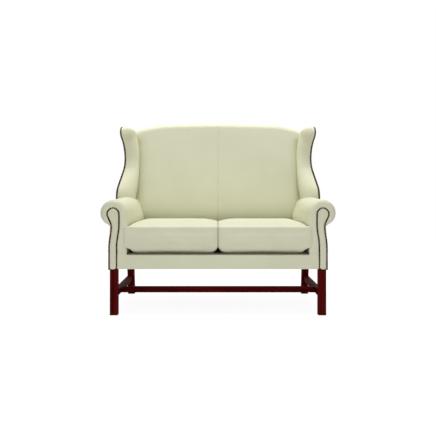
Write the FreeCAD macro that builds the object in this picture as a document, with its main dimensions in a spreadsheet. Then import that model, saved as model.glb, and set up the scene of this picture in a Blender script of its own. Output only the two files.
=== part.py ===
import FreeCAD, Part
import math
import os
import Sketcher

# High back settee, leather over a timber frame, two loose seat cushions.
# Millimetres. +X is the right side seen from in front, the front faces -Y, +Z is up, and the origin is on
# the floor under the middle of the whole settee.

doc = FreeCAD.newDocument("high_back_settee")
dims = doc.addObject("Spreadsheet::Sheet", "dims")
nodes = {}


class Size:
    """A length that carries its formula, so whatever is worked out from it stays bound to the sheet."""

    def __init__(self, value, formula):
        self.value = value
        self.formula = formula

    def join(self, other, sign, flip=False):
        other = as_size(other)
        left, right = (other, self) if flip else (self, other)
        value = {
            "+": lambda: left.value + right.value,
            "-": lambda: left.value - right.value,
            "*": lambda: left.value * right.value,
            "/": lambda: left.value / right.value,
        }[sign]()
        return Size(value, "(%s %s %s)" % (left.formula, sign, right.formula))

    def __add__(self, other):
        return self.join(other, "+")

    def __radd__(self, other):
        return self.join(other, "+", True)

    def __sub__(self, other):
        return self.join(other, "-")

    def __rsub__(self, other):
        return self.join(other, "-", True)

    def __mul__(self, other):
        return self.join(other, "*")

    def __rmul__(self, other):
        return self.join(other, "*", True)

    def __truediv__(self, other):
        return self.join(other, "/")

    def __neg__(self):
        return self.join(0.0, "-", True)


def as_size(amount):
    """A plain number taken as a size, or a size as it is."""
    return amount if isinstance(amount, Size) else Size(float(amount), repr(float(amount)))


def root(size):
    """The square root of a size."""
    return Size(math.sqrt(size.value), "sqrt(%s)" % size.formula)


sheet_row = 0


def dim(name, value):
    """Writes a driving dimension into the sheet and returns it."""
    global sheet_row
    sheet_row += 1
    dims.set("A%d" % sheet_row, name.replace("_", " "))
    dims.set("B%d" % sheet_row, str(value))
    dims.setAlias("B%d" % sheet_row, name)
    return Size(float(value), "dims." + name)


# Overall sizes
width = dim("width", 1305)
depth = dim("depth", 797)
height = dim("height", 1128)
arm_rise = dim("arm_rise", 638)
seat_rise = dim("seat_rise", 490)
back_thick = dim("back_thick", 153)

# Legs and stretchers
leg_rise = dim("leg_rise", 255)
leg_size = dim("leg_size", 43)
leg_inset = dim("leg_inset", 7)
leg_setback = dim("leg_setback", 4)
leg_easing = dim("leg_easing", 1.5)
rear_leg_rake = dim("rear_leg_rake", 0.212)
spigot_radius = dim("spigot_radius", 9)
spigot_length = dim("spigot_length", 40)
stretcher_wide = dim("stretcher_wide", 30)
stretcher_high = dim("stretcher_high", 33)
stretcher_rise = dim("stretcher_rise", 91)
stretcher_inset = dim("stretcher_inset", 0.5)
cross_setback = dim("cross_setback", 210)
tenon_length = dim("tenon_length", 20)
tenon_thick = dim("tenon_thick", 12)
tenon_high = dim("tenon_high", 20)
glue_gap = dim("glue_gap", 0.2)

# Timber frame
post_thick = dim("post_thick", 30)
rail_thick = dim("rail_thick", 28)
rail_high = dim("rail_high", 75)
cloth_thick = dim("cloth_thick", 2)
block_leg = dim("block_leg", 70)
block_lap = dim("block_lap", 26)
back_frame = dim("back_frame", 45)
back_post_wide = dim("back_post_wide", 58)
back_post_top = dim("back_post_top", 34)
board_thick = dim("board_thick", 22)
arm_board_half = dim("arm_board_half", 55)
strap_wide = dim("strap_wide", 50)
strap_end = dim("strap_end", 6)
strap_tack = dim("strap_tack", 20)
lining_edge = dim("lining_edge", 10)
lining_leg_gap = dim("lining_leg_gap", 20)
spigot_root = dim("spigot_root", 1)

# Upholstery
roll_radius = dim("roll_radius", 74.5)
roll_overhang = dim("roll_overhang", 48.5)
roll_pad = dim("roll_pad", 17.5)
front_pad = dim("front_pad", 12)
front_round = dim("front_round", 11.5)
neck_inset = dim("neck_inset", 7)
panel_knee = dim("panel_knee", 100)
outer_skin = dim("outer_skin", 11)
back_skin = dim("back_skin", 8)
wing_skin = dim("wing_skin", 6)
facing_proud = dim("facing_proud", 1.5)
facing_sunk = dim("facing_sunk", 2.5)
facing_radius = dim("facing_radius", 38)
facing_drop = dim("facing_drop", 5)
facing_margin = dim("facing_margin", 2)
facing_neck = dim("facing_neck", 14)
facing_waist = dim("facing_waist", 12.5)
facing_straight = dim("facing_straight", 68)
deck_thick = dim("deck_thick", 6)
rear_lean = dim("rear_lean", 0.13)
face_lean = dim("face_lean", 0.158)
face_round = dim("face_round", 38)
top_pad = dim("top_pad", 45)
camel_shoulder = dim("camel_shoulder", 120)
camel_rise = dim("camel_rise", 12)
camel_drop = dim("camel_drop", 26)
clearance = dim("clearance", 0.3)

# Wings
back_inset = dim("back_inset", 79)
inside_inset = dim("inside_inset", 132.5)
wing_flare = dim("wing_flare", 0.14)
wing_tip_drop = dim("wing_tip_drop", 37)
wing_hollow_drop = dim("wing_hollow_drop", 246)
wing_reach = dim("wing_reach", 214)
wing_line_rise = dim("wing_line_rise", 0.88)
wing_low_radius = dim("wing_low_radius", 52)
wing_high_radius = dim("wing_high_radius", 185)
wing_tip_radius = dim("wing_tip_radius", 30)
wing_foot_reach = dim("wing_foot_reach", 397)
wing_foot_radius = dim("wing_foot_radius", 80)
wing_board_inset = dim("wing_board_inset", 19)
wing_front_thick = dim("wing_front_thick", 62)
wing_round = dim("wing_round", 14)

# Seat cushions
cushion_overhang = dim("cushion_overhang", 10)
cushion_crown = dim("cushion_crown", 27)
cushion_side_crown = dim("cushion_side_crown", 14)
cushion_corner = dim("cushion_corner", 20)
cushion_draw = dim("cushion_draw", 4)
cushion_gap = dim("cushion_gap", 1)
cover_thick = dim("cover_thick", 14)
doc.recompute()

# Planes that the pieces share
front = cushion_overhang - depth / 2
body_half = width / 2 - roll_overhang
back_half = width / 2 - back_inset
inside_half = width / 2 - inside_inset
camel_flat = inside_half - camel_shoulder
roll_x = width / 2 - roll_radius
roll_z = arm_rise - roll_radius
arm_inner = roll_x - roll_radius
post_inner = arm_inner + roll_pad
post_outer = body_half - outer_skin
neck_x = body_half - neck_inset
frame_low = leg_rise + cloth_thick
frame_top = frame_low + rail_high
deck_top = frame_top + cloth_thick + deck_thick
back_inner = post_outer - back_post_wide
post_top = height - top_pad - camel_rise - camel_drop * 1.6


def rear(level):
    """Y of the outside back's face at a height."""
    return depth / 2 - rear_lean * (height - level)


def frame_rear(level):
    """Y of the back frame's rear face at a height."""
    return rear(level) - back_skin


def frame_front(level):
    """Y of the back frame's front face at a height."""
    return frame_rear(level) - back_frame


def pad_rear(level):
    """Y of the inside back pad's rear face, in front of two crossed straps."""
    return frame_front(level) - cloth_thick * 2


def face(level):
    """Y of the inside back's face at a height."""
    return rear(seat_rise) - back_thick + face_lean * (level - seat_rise)


def wing_x(place):
    """X of the wing's outer face at a depth."""
    return back_half + wing_flare * (depth / 2 - place)


def bind(item, prop, size):
    """Binds a property to a size's formula."""
    item.setExpression(prop, as_size(size).formula)


def block(label, x_span, y_span, z_span):
    """A rectangular block between three pairs of sizes."""
    box = doc.addObject("Part::Box", label)
    for prop, axis, (low, high) in zip(("Length", "Width", "Height"), "xyz", (x_span, y_span, z_span)):
        bind(box, prop, high - low)
        bind(box, "Placement.Base." + axis, low)
    return box


def peg(label, x, y, low, high, radius):
    """An upright cylinder."""
    cylinder = doc.addObject("Part::Cylinder", label)
    bind(cylinder, "Radius", radius)
    bind(cylinder, "Height", high - low)
    for axis, place in zip("xyz", (x, y, low)):
        bind(cylinder, "Placement.Base." + axis, place)
    return cylinder


def arc_between(start, end, radius, turn):
    """The shorter arc from start to end, its centre on the left for turn +1 and on the right for -1."""
    chord = end - start
    across = FreeCAD.Vector(-chord.y, chord.x, 0).normalize() * turn
    rise = math.sqrt(max(radius ** 2 - chord.Length ** 2 / 4, 0.0))
    centre = (start + end) / 2 + across * rise
    return Part.Arc(start, centre - across * radius, end)


def draw(sketch, path):
    """A closed outline of lines and arcs. A corner is (across, up), or (across, up, radius, turn) where an
    arc leads on to the next corner."""
    corners = [FreeCAD.Vector(as_size(c[0]).value, as_size(c[1]).value, 0) for c in path]
    for index, corner in enumerate(path):
        start, end = corners[index], corners[(index + 1) % len(path)]
        if len(corner) == 4:
            edge = arc_between(start, end, as_size(corner[2]).value, corner[3])
        else:
            edge = Part.LineSegment(start, end)
        sketch.addGeometry(edge)

    def end_at(edge, place):
        """Which end of an edge lies at a place."""
        near = (sketch.getPoint(edge, 1) - place).Length < (sketch.getPoint(edge, 2) - place).Length
        return 1 if near else 2

    for index, corner in enumerate(path):
        here, before = corners[index], (index - 1) % len(path)
        end = end_at(index, here)
        sketch.addConstraint(Sketcher.Constraint("Coincident", index, end, before, end_at(before, here)))
        for kind, size in (("DistanceX", corner[0]), ("DistanceY", corner[1])):
            row = sketch.addConstraint(Sketcher.Constraint(kind, -1, 1, index, end, as_size(size).value))
            bind(sketch, "Constraints[%d]" % row, size)
        if len(corner) == 4:
            row = sketch.addConstraint(Sketcher.Constraint("Radius", index, as_size(corner[2]).value))
            bind(sketch, "Constraints[%d]" % row, corner[2])


def padded(label, plane, path, low, high):
    """An outline on the XY, XZ or YZ plane, carried from low to high along the third axis."""
    body = doc.addObject("PartDesign::Body", label)
    sketch = body.newObject("Sketcher::SketchObject", label + "_outline")
    sketch.AttachmentSupport = [([f for f in body.Origin.OriginFeatures if f.Role == plane + "_Plane"][0], "")]
    sketch.MapMode = "FlatFace"
    forward = plane != "XZ"
    bind(sketch, "AttachmentOffset.Base.z", low if forward else -as_size(low))
    draw(sketch, path)
    pad = body.newObject("PartDesign::Pad", label + "_pad")
    pad.Profile = sketch
    pad.Reversed = not forward
    bind(pad, "Length", high - low)
    sketch.Visibility = False
    return body


def cut(label, base, *tools):
    """A piece with others taken out of it."""
    result = doc.addObject("Part::Cut", label)
    result.Base = base
    result.Tool = tools[0] if len(tools) == 1 else fuse(label + "_tools", *tools)
    return result


def fuse(label, *pieces):
    """Pieces made one."""
    result = doc.addObject("Part::MultiFuse", label)
    result.Shapes = list(pieces)
    result.Refine = True
    return result


def common(label, one, other):
    """What two solids share."""
    result = doc.addObject("Part::MultiCommon", label)
    result.Shapes = [one, other]
    result.Refine = True
    return result


def rounded(label, base, picks, radius):
    """Rounds the edges that picks chooses. An edge list takes no formula, so it reads the size."""
    doc.recompute()
    result = doc.addObject("Part::Fillet", label)
    result.Base = base
    result.Edges = [(i + 1, radius.value, radius.value) for i, e in enumerate(base.Shape.Edges) if picks(e)]
    return result


def eased(label, base, radius):
    """A leg with its long edges eased."""
    long_enough = (leg_rise * 0.8).value
    return rounded(label, base, lambda edge: edge.Length > long_enough, radius)


def mirrored(label, source):
    """The same piece for the other side."""
    result = doc.addObject("Part::Mirroring", label)
    result.Source = source
    result.Normal = FreeCAD.Vector(1, 0, 0)
    return result


def node(name, piece):
    """Gives a finished piece its name."""
    piece.Label = name
    nodes[name] = piece
    return piece


def pair(name, right):
    """A piece for the right side and its mirror image for the left."""
    node(name + "_right", right)
    node(name + "_left", mirrored(name + "_left", right))
    return right


# Stretcher joints: every tenon is a block, and its mortise the same block with the glue gap round it
leg_edge = body_half - leg_inset
leg_mid_x = leg_edge - leg_size / 2
side_low_x = leg_edge - stretcher_inset - stretcher_wide
side_high_x = leg_edge - stretcher_inset
side_mid_x = side_high_x - stretcher_wide / 2
stretcher_top = stretcher_rise + stretcher_high
tenon_low = stretcher_rise + (stretcher_high - tenon_high) / 2
front_leg_back = front + leg_setback + leg_size
leg_run = leg_size * root(1 + rear_leg_rake * rear_leg_rake)


def rear_leg_front(level):
    """Y of the raked rear leg's front face at a height."""
    return rear(leg_rise) - leg_run + rear_leg_rake * (leg_rise - level)


def tenon_block(label, x_span, y_span, gap):
    """A tenon between two spans, or its mortise where there is a gap."""
    spread = [(low - gap, high + gap) for low, high in (x_span, y_span)]
    return block(label, spread[0], spread[1], (tenon_low - gap, tenon_low + tenon_high + gap))


side_tenon_x = (side_mid_x - tenon_thick / 2, side_mid_x + tenon_thick / 2)
front_tenon_y = (front_leg_back - tenon_length, front_leg_back + tenon_length)
rear_tenon_y = (rear_leg_front(stretcher_top) - tenon_length, rear_leg_front(tenon_low) + tenon_length)
cross_y = (front + cross_setback, front + cross_setback + stretcher_wide)
cross_mid_y = front + cross_setback + stretcher_wide / 2
cross_tenon_x = (side_low_x - tenon_length, side_low_x + tenon_length)
cross_tenon_y = (cross_mid_y - tenon_thick / 2, cross_mid_y + tenon_thick / 2)

# Front legs: square, with eased edges and a round spigot that enters the arm's front post
front_leg_y = front + leg_setback
front_spigot_y = front + front_pad + post_thick / 2
front_leg = block("front_leg_stock", (leg_edge - leg_size, leg_edge), (front_leg_y, front_leg_back),
                  (as_size(0), leg_rise))
front_leg = eased("front_leg_eased", front_leg, leg_easing)
front_leg = fuse("front_leg_whole", front_leg,
                 peg("front_spigot", leg_mid_x, front_spigot_y, leg_rise - spigot_root,
                     leg_rise + spigot_length, spigot_radius))
pair("leg_front", cut("front_leg", front_leg,
                      tenon_block("front_leg_mortise", side_tenon_x, front_tenon_y, glue_gap)))

# Rear legs: raked backwards below the seat, square to the floor at the foot
rear_leg = padded("rear_leg_stock", "YZ", [
    (rear_leg_front(as_size(0)), 0),
    (rear_leg_front(as_size(0)) + leg_run, 0),
    (rear(leg_rise), leg_rise),
    (rear(leg_rise) - leg_run, leg_rise),
], leg_edge - leg_size, leg_edge)
rear_spigot_y = frame_rear(leg_rise) - back_frame / 2
rear_leg = eased("rear_leg_eased", rear_leg, leg_easing)
rear_leg = fuse("rear_leg_whole", rear_leg,
                peg("rear_spigot", leg_mid_x, rear_spigot_y, leg_rise - spigot_root,
                    leg_rise + spigot_length, spigot_radius))
pair("leg_rear", cut("rear_leg", rear_leg,
                     tenon_block("rear_leg_mortise", side_tenon_x, rear_tenon_y, glue_gap)))

# Side stretchers: shouldered against both legs, tenoned at each end and mortised for the cross stretcher
side_bar = padded("side_bar", "YZ", [
    (front_leg_back, stretcher_rise),
    (rear_leg_front(stretcher_rise), stretcher_rise),
    (rear_leg_front(stretcher_top), stretcher_top),
    (front_leg_back, stretcher_top),
], side_low_x, side_high_x)
side_bar = fuse("side_bar_whole", side_bar,
                tenon_block("side_tenon_front", side_tenon_x, front_tenon_y, 0),
                tenon_block("side_tenon_rear", side_tenon_x, rear_tenon_y, 0))
pair("stretcher_side", cut("side_stretcher", side_bar,
                           tenon_block("cross_mortise", cross_tenon_x, cross_tenon_y, glue_gap)))

cross_bar = block("cross_bar", (-side_low_x, side_low_x), cross_y, (stretcher_rise, stretcher_top))
cross_tenon = block("cross_tenon", (-cross_tenon_x[1], cross_tenon_x[1]), cross_tenon_y,
                    (tenon_low, tenon_low + tenon_high))
node("stretcher_cross", fuse("cross_stretcher", cross_bar, cross_tenon))

# Seat frame: front and rear rails between the posts, side rails butted front to back
rail_front_y = front + front_pad
rail_back_y = rail_front_y + post_thick
side_rail_top = frame_top - cloth_thick
node("seat_rail_front", block("front_rail", (-post_inner, post_inner), (rail_front_y, rail_back_y),
                              (frame_low, frame_top)))
node("seat_rail_rear", padded("rear_rail", "YZ", [
    (frame_rear(frame_low) - rail_thick, frame_low),
    (frame_rear(frame_low), frame_low),
    (frame_rear(frame_top), frame_top),
    (frame_rear(frame_top) - rail_thick, frame_top),
], -back_inner, back_inner))
pair("seat_rail_side", padded("side_rail", "YZ", [
    (rail_back_y, frame_low),
    (frame_front(frame_low), frame_low),
    (frame_front(side_rail_top), side_rail_top),
    (rail_back_y, side_rail_top),
], post_outer - rail_thick, post_outer))
centre_top = frame_top - rail_high / 2
node("seat_rail_centre", padded("centre_rail", "YZ", [
    (rail_back_y, frame_low),
    (frame_rear(frame_low) - rail_thick, frame_low),
    (frame_rear(centre_top) - rail_thick, centre_top),
    (rail_back_y, centre_top),
], -rail_thick / 2, rail_thick / 2))

# Corner blocks: glued triangles behind the front posts and in front of the back posts
rail_inner = post_outer - rail_thick
block_top = side_rail_top - cloth_thick
pair("corner_block_front", padded("front_block", "XY", [
    (post_inner - block_lap, rail_back_y),
    (rail_inner, rail_back_y),
    (rail_inner, rail_back_y + block_leg),
], frame_low, block_top))
behind_posts = padded("behind_back_posts", "YZ", [
    (frame_front(leg_rise), leg_rise),
    (depth, leg_rise),
    (depth, height),
    (frame_front(height), height),
], -width, width)
rear_block = padded("rear_block_stock", "XY", [
    (rail_inner, frame_front(frame_low) - block_leg),
    (rail_inner, frame_rear(frame_top)),
    (back_inner, frame_rear(frame_top)),
    (back_inner, frame_front(frame_low) - block_leg / 2),
], frame_low, block_top)
pair("corner_block_rear", cut("rear_block", rear_block, behind_posts))

# Seat straps: three across under nine from front to back, tacked to the tops of the rails
cross_straps = []
for index in range(3):
    strap_y = rail_back_y + (index + 1) * (frame_front(frame_top) - rail_back_y) / 4
    cross_straps.append(block("seat_cross_strap_%d" % index, (-post_outer + strap_end, post_outer - strap_end),
                              (strap_y - strap_wide / 2, strap_y + strap_wide / 2),
                              (side_rail_top, frame_top)))
long_straps = []
for index in range(9):
    strap_x = (index - 4) * (post_inner * 2 - strap_wide) / 9
    long_straps.append(block("seat_strap_%d" % index, (strap_x - strap_wide / 2, strap_x + strap_wide / 2),
                             (rail_front_y + strap_end, frame_rear(frame_top) - strap_end),
                             (frame_top, frame_top + cloth_thick)))
straps = doc.addObject("Part::Compound", "seat_straps")
straps.Links = cross_straps + long_straps
node("seat_webbing", straps)

# Seat deck: the quilted platform that the cushions lie on
node("seat_deck", block("deck", (-arm_inner + clearance, arm_inner - clearance),
                        (rail_front_y, pad_rear(frame_top)), (deck_top - deck_thick, deck_top)))

# Front border: padded leather over the front rail, rounded at its top edge
border_round = front_pad * 0.8
node("front_border", padded("border", "YZ", [
    (front, leg_rise),
    (front + front_pad, leg_rise),
    (front + front_pad, deck_top),
    (front + border_round, deck_top, border_round, 1),
    (front, deck_top - border_round),
], -arm_inner, arm_inner))

# Dust cover: black cloth tacked under the rails, clear of the four legs
lining_low = leg_rise + cloth_thick / 4
node("dust_cover", fuse("lining",
                        block("lining_long", (-post_inner, post_inner),
                              (rail_front_y + lining_edge, frame_rear(frame_low) - lining_edge),
                              (lining_low, frame_low)),
                        block("lining_wide", (-post_outer + lining_edge, post_outer - lining_edge),
                              (rail_back_y + lining_leg_gap, frame_front(frame_low) - lining_leg_gap),
                              (lining_low, frame_low))))

# Arms. The roll is a circle, and the stem hangs from its inner side.
neck_z = roll_z - root(roll_radius * roll_radius - (neck_x - roll_x) * (neck_x - roll_x))
core_radius = roll_radius - roll_pad
post_neck_z = roll_z - root(core_radius * core_radius - (post_outer - roll_x) * (post_outer - roll_x))
panel_knee_z = neck_z - panel_knee


def roll_path(radius, start):
    """Three arcs over the roll, from a start corner low on its outer side to its inner side."""
    return [
        (start[0], start[1], radius, 1),
        (roll_x + radius, roll_z, radius, 1),
        (roll_x, roll_z + radius, radius, 1),
        (roll_x - radius, roll_z),
    ]


scroll = [(arm_inner, leg_rise), (body_half, leg_rise), (body_half, panel_knee_z)]
scroll += roll_path(roll_radius, (neck_x, neck_z))

# Arm front posts: sawn to the scroll, bored for the leg's spigot
post_radius = core_radius - clearance
post_low_z = roll_z - root(post_radius * post_radius - (post_outer - roll_x) * (post_outer - roll_x))
front_post = padded("front_post_stock", "XZ",
                    [(post_inner + clearance, leg_rise), (post_outer, leg_rise)]
                    + roll_path(post_radius, (post_outer, post_low_z)),
                    rail_front_y, rail_back_y)
pair("arm_front_post", cut("front_post", front_post,
                           peg("front_post_bore", leg_mid_x, front_spigot_y, leg_rise - spigot_root,
                               leg_rise + spigot_length + clearance, spigot_radius + clearance)))

# Arm rails: a flat board that carries the roll, and a tacking rail above the seat deck
arm_board_y = (rail_back_y, frame_rear(arm_rise))
arm_board = block("arm_board_stock", (roll_x - arm_board_half, roll_x + arm_board_half), arm_board_y,
                  (roll_z - board_thick / 2, roll_z + board_thick / 2))
pair("arm_top_rail", cut("arm_board", arm_board, behind_posts))
tack_rail = block("tack_rail_stock", (post_inner, back_inner + rail_thick / 2), arm_board_y,
                  (deck_top, deck_top + rail_thick))
pair("arm_lower_rail", cut("tack_rail", tack_rail, behind_posts))

# Back posts: raked with the back, wide at the seat and narrower beside the wings
back_post_outline = padded("back_post_outline", "XZ", [
    (back_inner, leg_rise),
    (post_outer, leg_rise),
    (post_outer, roll_z),
    (post_outer - neck_inset * 2.3, arm_rise),
    (back_inner + back_post_top, post_top),
    (back_inner, post_top),
], front, depth)


def back_slab(label, low, high):
    """The space that the raked back frame fills, over the whole width."""
    return padded(label, "YZ", [
        (frame_front(low), low),
        (frame_rear(low), low),
        (frame_rear(high), high),
        (frame_front(high), high),
    ], -width / 2, width / 2)


back_post = common("back_post_raked", back_post_outline, back_slab("post_slab", leg_rise, post_top))
back_post = pair("back_post", cut("back_post", back_post,
                                  peg("back_post_bore", leg_mid_x, rear_spigot_y, leg_rise - spigot_root,
                                      leg_rise + spigot_length + clearance, spigot_radius + clearance)))


def camel(half, lowered, low):
    """The back's top line, a shallow arc with falling shoulders, closed by a straight lower edge."""
    top = height - lowered
    shoulder = top - camel_rise
    end = shoulder - camel_drop * (half - camel_flat) / (inside_half - camel_flat)
    sweep = (camel_flat * camel_flat + camel_rise * camel_rise) / (camel_rise * 2)
    return [
        (-half, low), (half, low), (half, end),
        (camel_flat, shoulder, sweep, 1), (-camel_flat, shoulder), (-half, end),
    ]


# Back rails and upright
top_rail_low = post_top - rail_high
top_rail = padded("top_rail_outline", "XZ", camel(back_inner, top_pad + clearance, top_rail_low), front, depth)
node("back_top_rail", common("top_rail", top_rail, back_slab("top_rail_slab", top_rail_low, height)))
stuffing_low = deck_top + top_pad
stuffing_top = stuffing_low + rail_high * 0.8


def leaning(label, low, high, x_span, start, thick):
    """A bar that leans with the back frame, a start distance before or behind its front face."""
    return padded(label, "YZ", [
        (frame_front(low) + start, low),
        (frame_front(low) + start + thick, low),
        (frame_front(high) + start + thick, high),
        (frame_front(high) + start, high),
    ], x_span[0], x_span[1])


node("back_lower_rail", leaning("stuffing_rail", stuffing_low, stuffing_top, (-back_inner, back_inner),
                                as_size(0), back_frame))
node("back_centre_upright", leaning("upright", stuffing_top, top_rail_low, (-rail_thick / 2, rail_thick / 2),
                                    as_size(0), rail_thick))

# Back straps: upright ones on the frame, and level ones over them above the arms
back_straps = []
for index in (-4, -3, -2, -1, 1, 2, 3, 4):
    strap_x = index * back_inner / 5
    back_straps.append(leaning("back_strap_%d" % index, stuffing_low + strap_tack, top_rail_low + strap_tack,
                               (strap_x - strap_wide / 2, strap_x + strap_wide / 2),
                               -cloth_thick, cloth_thick))
for index in range(3):
    strap_z = arm_rise + (index + 1) * (top_rail_low - arm_rise) / 4
    back_straps.append(leaning("back_cross_strap_%d" % index, strap_z, strap_z + strap_wide,
                               (-back_inner - strap_tack, back_inner + strap_tack),
                               -cloth_thick * 2, cloth_thick))
webbing = doc.addObject("Part::Compound", "back_straps")
webbing.Links = back_straps
node("back_webbing", webbing)

# Space behind the pads that the back frame and its outside panel take
behind_pads = padded("behind_pads_side", "YZ", [
    (pad_rear(leg_rise), leg_rise),
    (depth, leg_rise),
    (depth, height),
    (pad_rear(height), height),
], -width, width)
behind_pads = common("behind_pads", behind_pads,
                     padded("behind_pads_front", "XZ", camel(body_half, top_pad, leg_rise),
                            front * 2, depth * 2))

# Inside back: a reclined pad, rolled over the top rail and down to the outside back
round_top = height - face_round
pad_side = padded("back_pad_side", "YZ", [
    (face(deck_top), deck_top),
    (pad_rear(deck_top), deck_top),
    (pad_rear(round_top), round_top - top_pad),
    (rear(round_top - top_pad), round_top - top_pad),
    (rear(height - front_pad), height - front_pad, front_pad * 1.2, 1),
    (rear(height) - front_pad, height),
    (face(round_top) + face_round, height, face_round * 1.02, 1),
    (face(round_top), round_top),
], -body_half, body_half)
pad_front = padded("back_pad_front", "XZ", camel(inside_half, as_size(0), deck_top), front * 2, depth * 2)
arm_space = padded("arm_space", "XZ", [
    (arm_inner - clearance, leg_rise),
    (body_half + clearance, leg_rise),
    (body_half + clearance, panel_knee_z),
] + roll_path(roll_radius + clearance, (neck_x + clearance, neck_z)), front * 2, depth * 2)
inside_back = cut("inside_back", common("back_pad", pad_side, pad_front), behind_pads,
                  arm_space, mirrored("arm_space_left", arm_space))
node("inside_back_pad", inside_back)

# Wings: the side outline is a line, two tangent arcs and a small tip arc, drawn again at each inset
wing_tip_rise = height - wing_tip_drop
wing_hollow_rise = height - wing_hollow_drop
low_y = depth / 2 - wing_reach - wing_low_radius
high_y = depth / 2 - wing_reach - wing_high_radius
tip_rise = wing_tip_rise - wing_tip_radius - wing_hollow_rise
tip_reach = wing_high_radius + wing_tip_radius
tip_run = root(tip_reach * tip_reach - tip_rise * tip_rise)
line_length = root(1 + wing_line_rise * wing_line_rise)
wing_foot_y = depth / 2 - wing_foot_reach
wing_fore = wing_foot_y - wing_tip_radius


def wing_side(label, inset, x_span):
    """The wing's side outline, moved in by an inset and carried across the wing."""
    low_radius = wing_low_radius + inset
    high_radius = wing_high_radius + inset
    tip_radius = wing_tip_radius - inset
    bend = (low_y + low_radius * wing_line_rise / line_length, wing_hollow_rise - low_radius / line_length)
    foot_radius = wing_foot_radius - inset
    foot_y = wing_foot_y + inset
    knee_z = bend[1] - (bend[0] - foot_y - foot_radius) * wing_line_rise - foot_radius * line_length
    top = wing_tip_rise - inset
    back_top = top - camel_drop / 5
    return padded(label, "YZ", [
        (foot_y, roll_z),
        (rear(roll_z), roll_z),
        (rear(back_top), back_top),
        (high_y + tip_run, top, tip_radius, 1),
        (high_y + tip_run * (high_radius / tip_reach),
         wing_hollow_rise + tip_rise * (high_radius / tip_reach), high_radius, -1),
        (high_y + high_radius, wing_hollow_rise, low_radius, -1),
        (bend[0], bend[1]),
        (foot_y + foot_radius - foot_radius * wing_line_rise / line_length,
         knee_z + foot_radius / line_length, foot_radius, 1),
        (foot_y, knee_z),
    ], x_span[0], x_span[1])


def wing_plan(label, near, far, low, high):
    """A strip along the wing's outer face, between two depths below that face."""
    aft = depth / 2
    return padded(label, "XY", [
        (wing_x(wing_fore) - far, wing_fore),
        (wing_x(wing_fore) - near, wing_fore),
        (wing_x(aft) - near, aft),
        (wing_x(aft) - far, aft),
    ], low, high)


wing_span = (inside_half / 2, width / 2)
behind_frame = padded("behind_frame", "YZ", [
    (frame_rear(leg_rise), leg_rise),
    (depth, leg_rise),
    (depth, height),
    (frame_rear(height), height),
], -width, width)
wing_panel = common("wing_panel_stock", wing_side("wing_panel_side", leg_setback, wing_span),
                    wing_plan("wing_panel_plan", as_size(0), wing_skin, roll_z, height))
wing_panel = pair("wing_outside_panel", cut("wing_panel", wing_panel, arm_space, behind_frame))

wing_board = common("wing_board_stock", wing_side("wing_board_side", wing_board_inset, wing_span),
                    wing_plan("wing_board_plan", wing_skin, wing_skin + board_thick,
                              roll_z + board_thick / 2, height))
wing_board = pair("wing_frame", cut("wing_board", wing_board, behind_posts))

meet = face(arm_rise) + face_round
wing_plan_pad = padded("wing_pad_plan", "XY", [
    (wing_x(wing_fore) - wing_front_thick, wing_fore),
    (wing_x(wing_fore), wing_fore),
    (wing_x(depth / 2), depth / 2),
    (inside_half, depth / 2),
    (inside_half, meet),
], roll_z, height)
wing_body = common("wing_pad_stock", wing_side("wing_pad_side", as_size(0), wing_span), wing_plan_pad)


def inner_front(edge):
    """The edges where a wing's front band turns into its inner face, up to the top of its tip."""
    run = wing_x(wing_fore) - wing_front_thick - inside_half
    for vertex in edge.Vertexes:
        on_inner = inside_half.value + run.value * (meet.value - vertex.Y) / (meet - wing_fore).value
        if abs(vertex.X - on_inner) > 0.05 or vertex.Y > (high_y + tip_run).value + 0.05:
            return False
    return edge.BoundBox.ZLength > 1


wing_body = rounded("wing_pad_rounded", wing_body, inner_front, wing_round)
pair("wing_pad", cut("wing_pad", wing_body, arm_space, wing_panel, wing_board, behind_pads))

# Arm pads: leather and stuffing over the post, the roll and the inner face
shell = [
    (arm_inner, deck_top),
    (post_inner, deck_top),
    (post_inner, roll_z, core_radius, -1),
    (roll_x, roll_z + core_radius, core_radius, -1),
    (roll_x + core_radius, roll_z, core_radius, -1),
    (post_outer, post_neck_z),
] + roll_path(roll_radius, (neck_x, neck_z))
arm_front = padded("arm_front_layer", "XZ", scroll, front, rail_front_y)
arm_shell = padded("arm_shell", "XZ", shell, rail_front_y, depth / 2)
arm_cover = fuse("arm_cover", arm_front, arm_shell)


def front_outline(edge):
    """The arm's front edge, up its inner side and over the roll."""
    box = edge.BoundBox
    at_front = box.YLength < 0.01 and abs(box.YMin - front.value) < 0.01
    inner_side = box.XLength < 0.01 and abs(box.XMin - arm_inner.value) < 0.01
    on_roll = edge.Curve.TypeId == "Part::GeomCircle"
    return at_front and (inner_side or on_roll)


arm_cover = rounded("arm_cover_rounded", arm_cover, front_outline, front_round)
facing_z = roll_z - facing_drop
facing_out = body_half - facing_margin
facing_in = roll_x - facing_radius
facing_neck_z = facing_z - root(facing_radius * facing_radius - facing_neck * facing_neck)
facing_path = [
    (facing_in + facing_waist, leg_rise),
    (facing_out, leg_rise),
    (facing_out, panel_knee_z),
    (roll_x + facing_neck, facing_neck_z, facing_radius, 1),
    (roll_x + facing_radius, facing_z, facing_radius, 1),
    (roll_x, facing_z + facing_radius, facing_radius, 1),
    (facing_in, facing_z),
    (facing_in, facing_z - facing_straight),
    (facing_in + facing_waist, panel_knee_z),
]
facing_bed = padded("facing_bed", "XZ", facing_path, front - facing_proud, front + facing_sunk)
behind_arm_lining = padded("arm_rear_space", "YZ", [
    (pad_rear(leg_rise), leg_rise),
    (depth, leg_rise),
    (depth, post_neck_z),
    (pad_rear(post_neck_z), post_neck_z),
], arm_inner - 1, post_outer)
pair("arm_pad", cut("arm_pad", arm_cover, facing_bed, wing_board, back_post, behind_arm_lining,
                    behind_frame))

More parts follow.
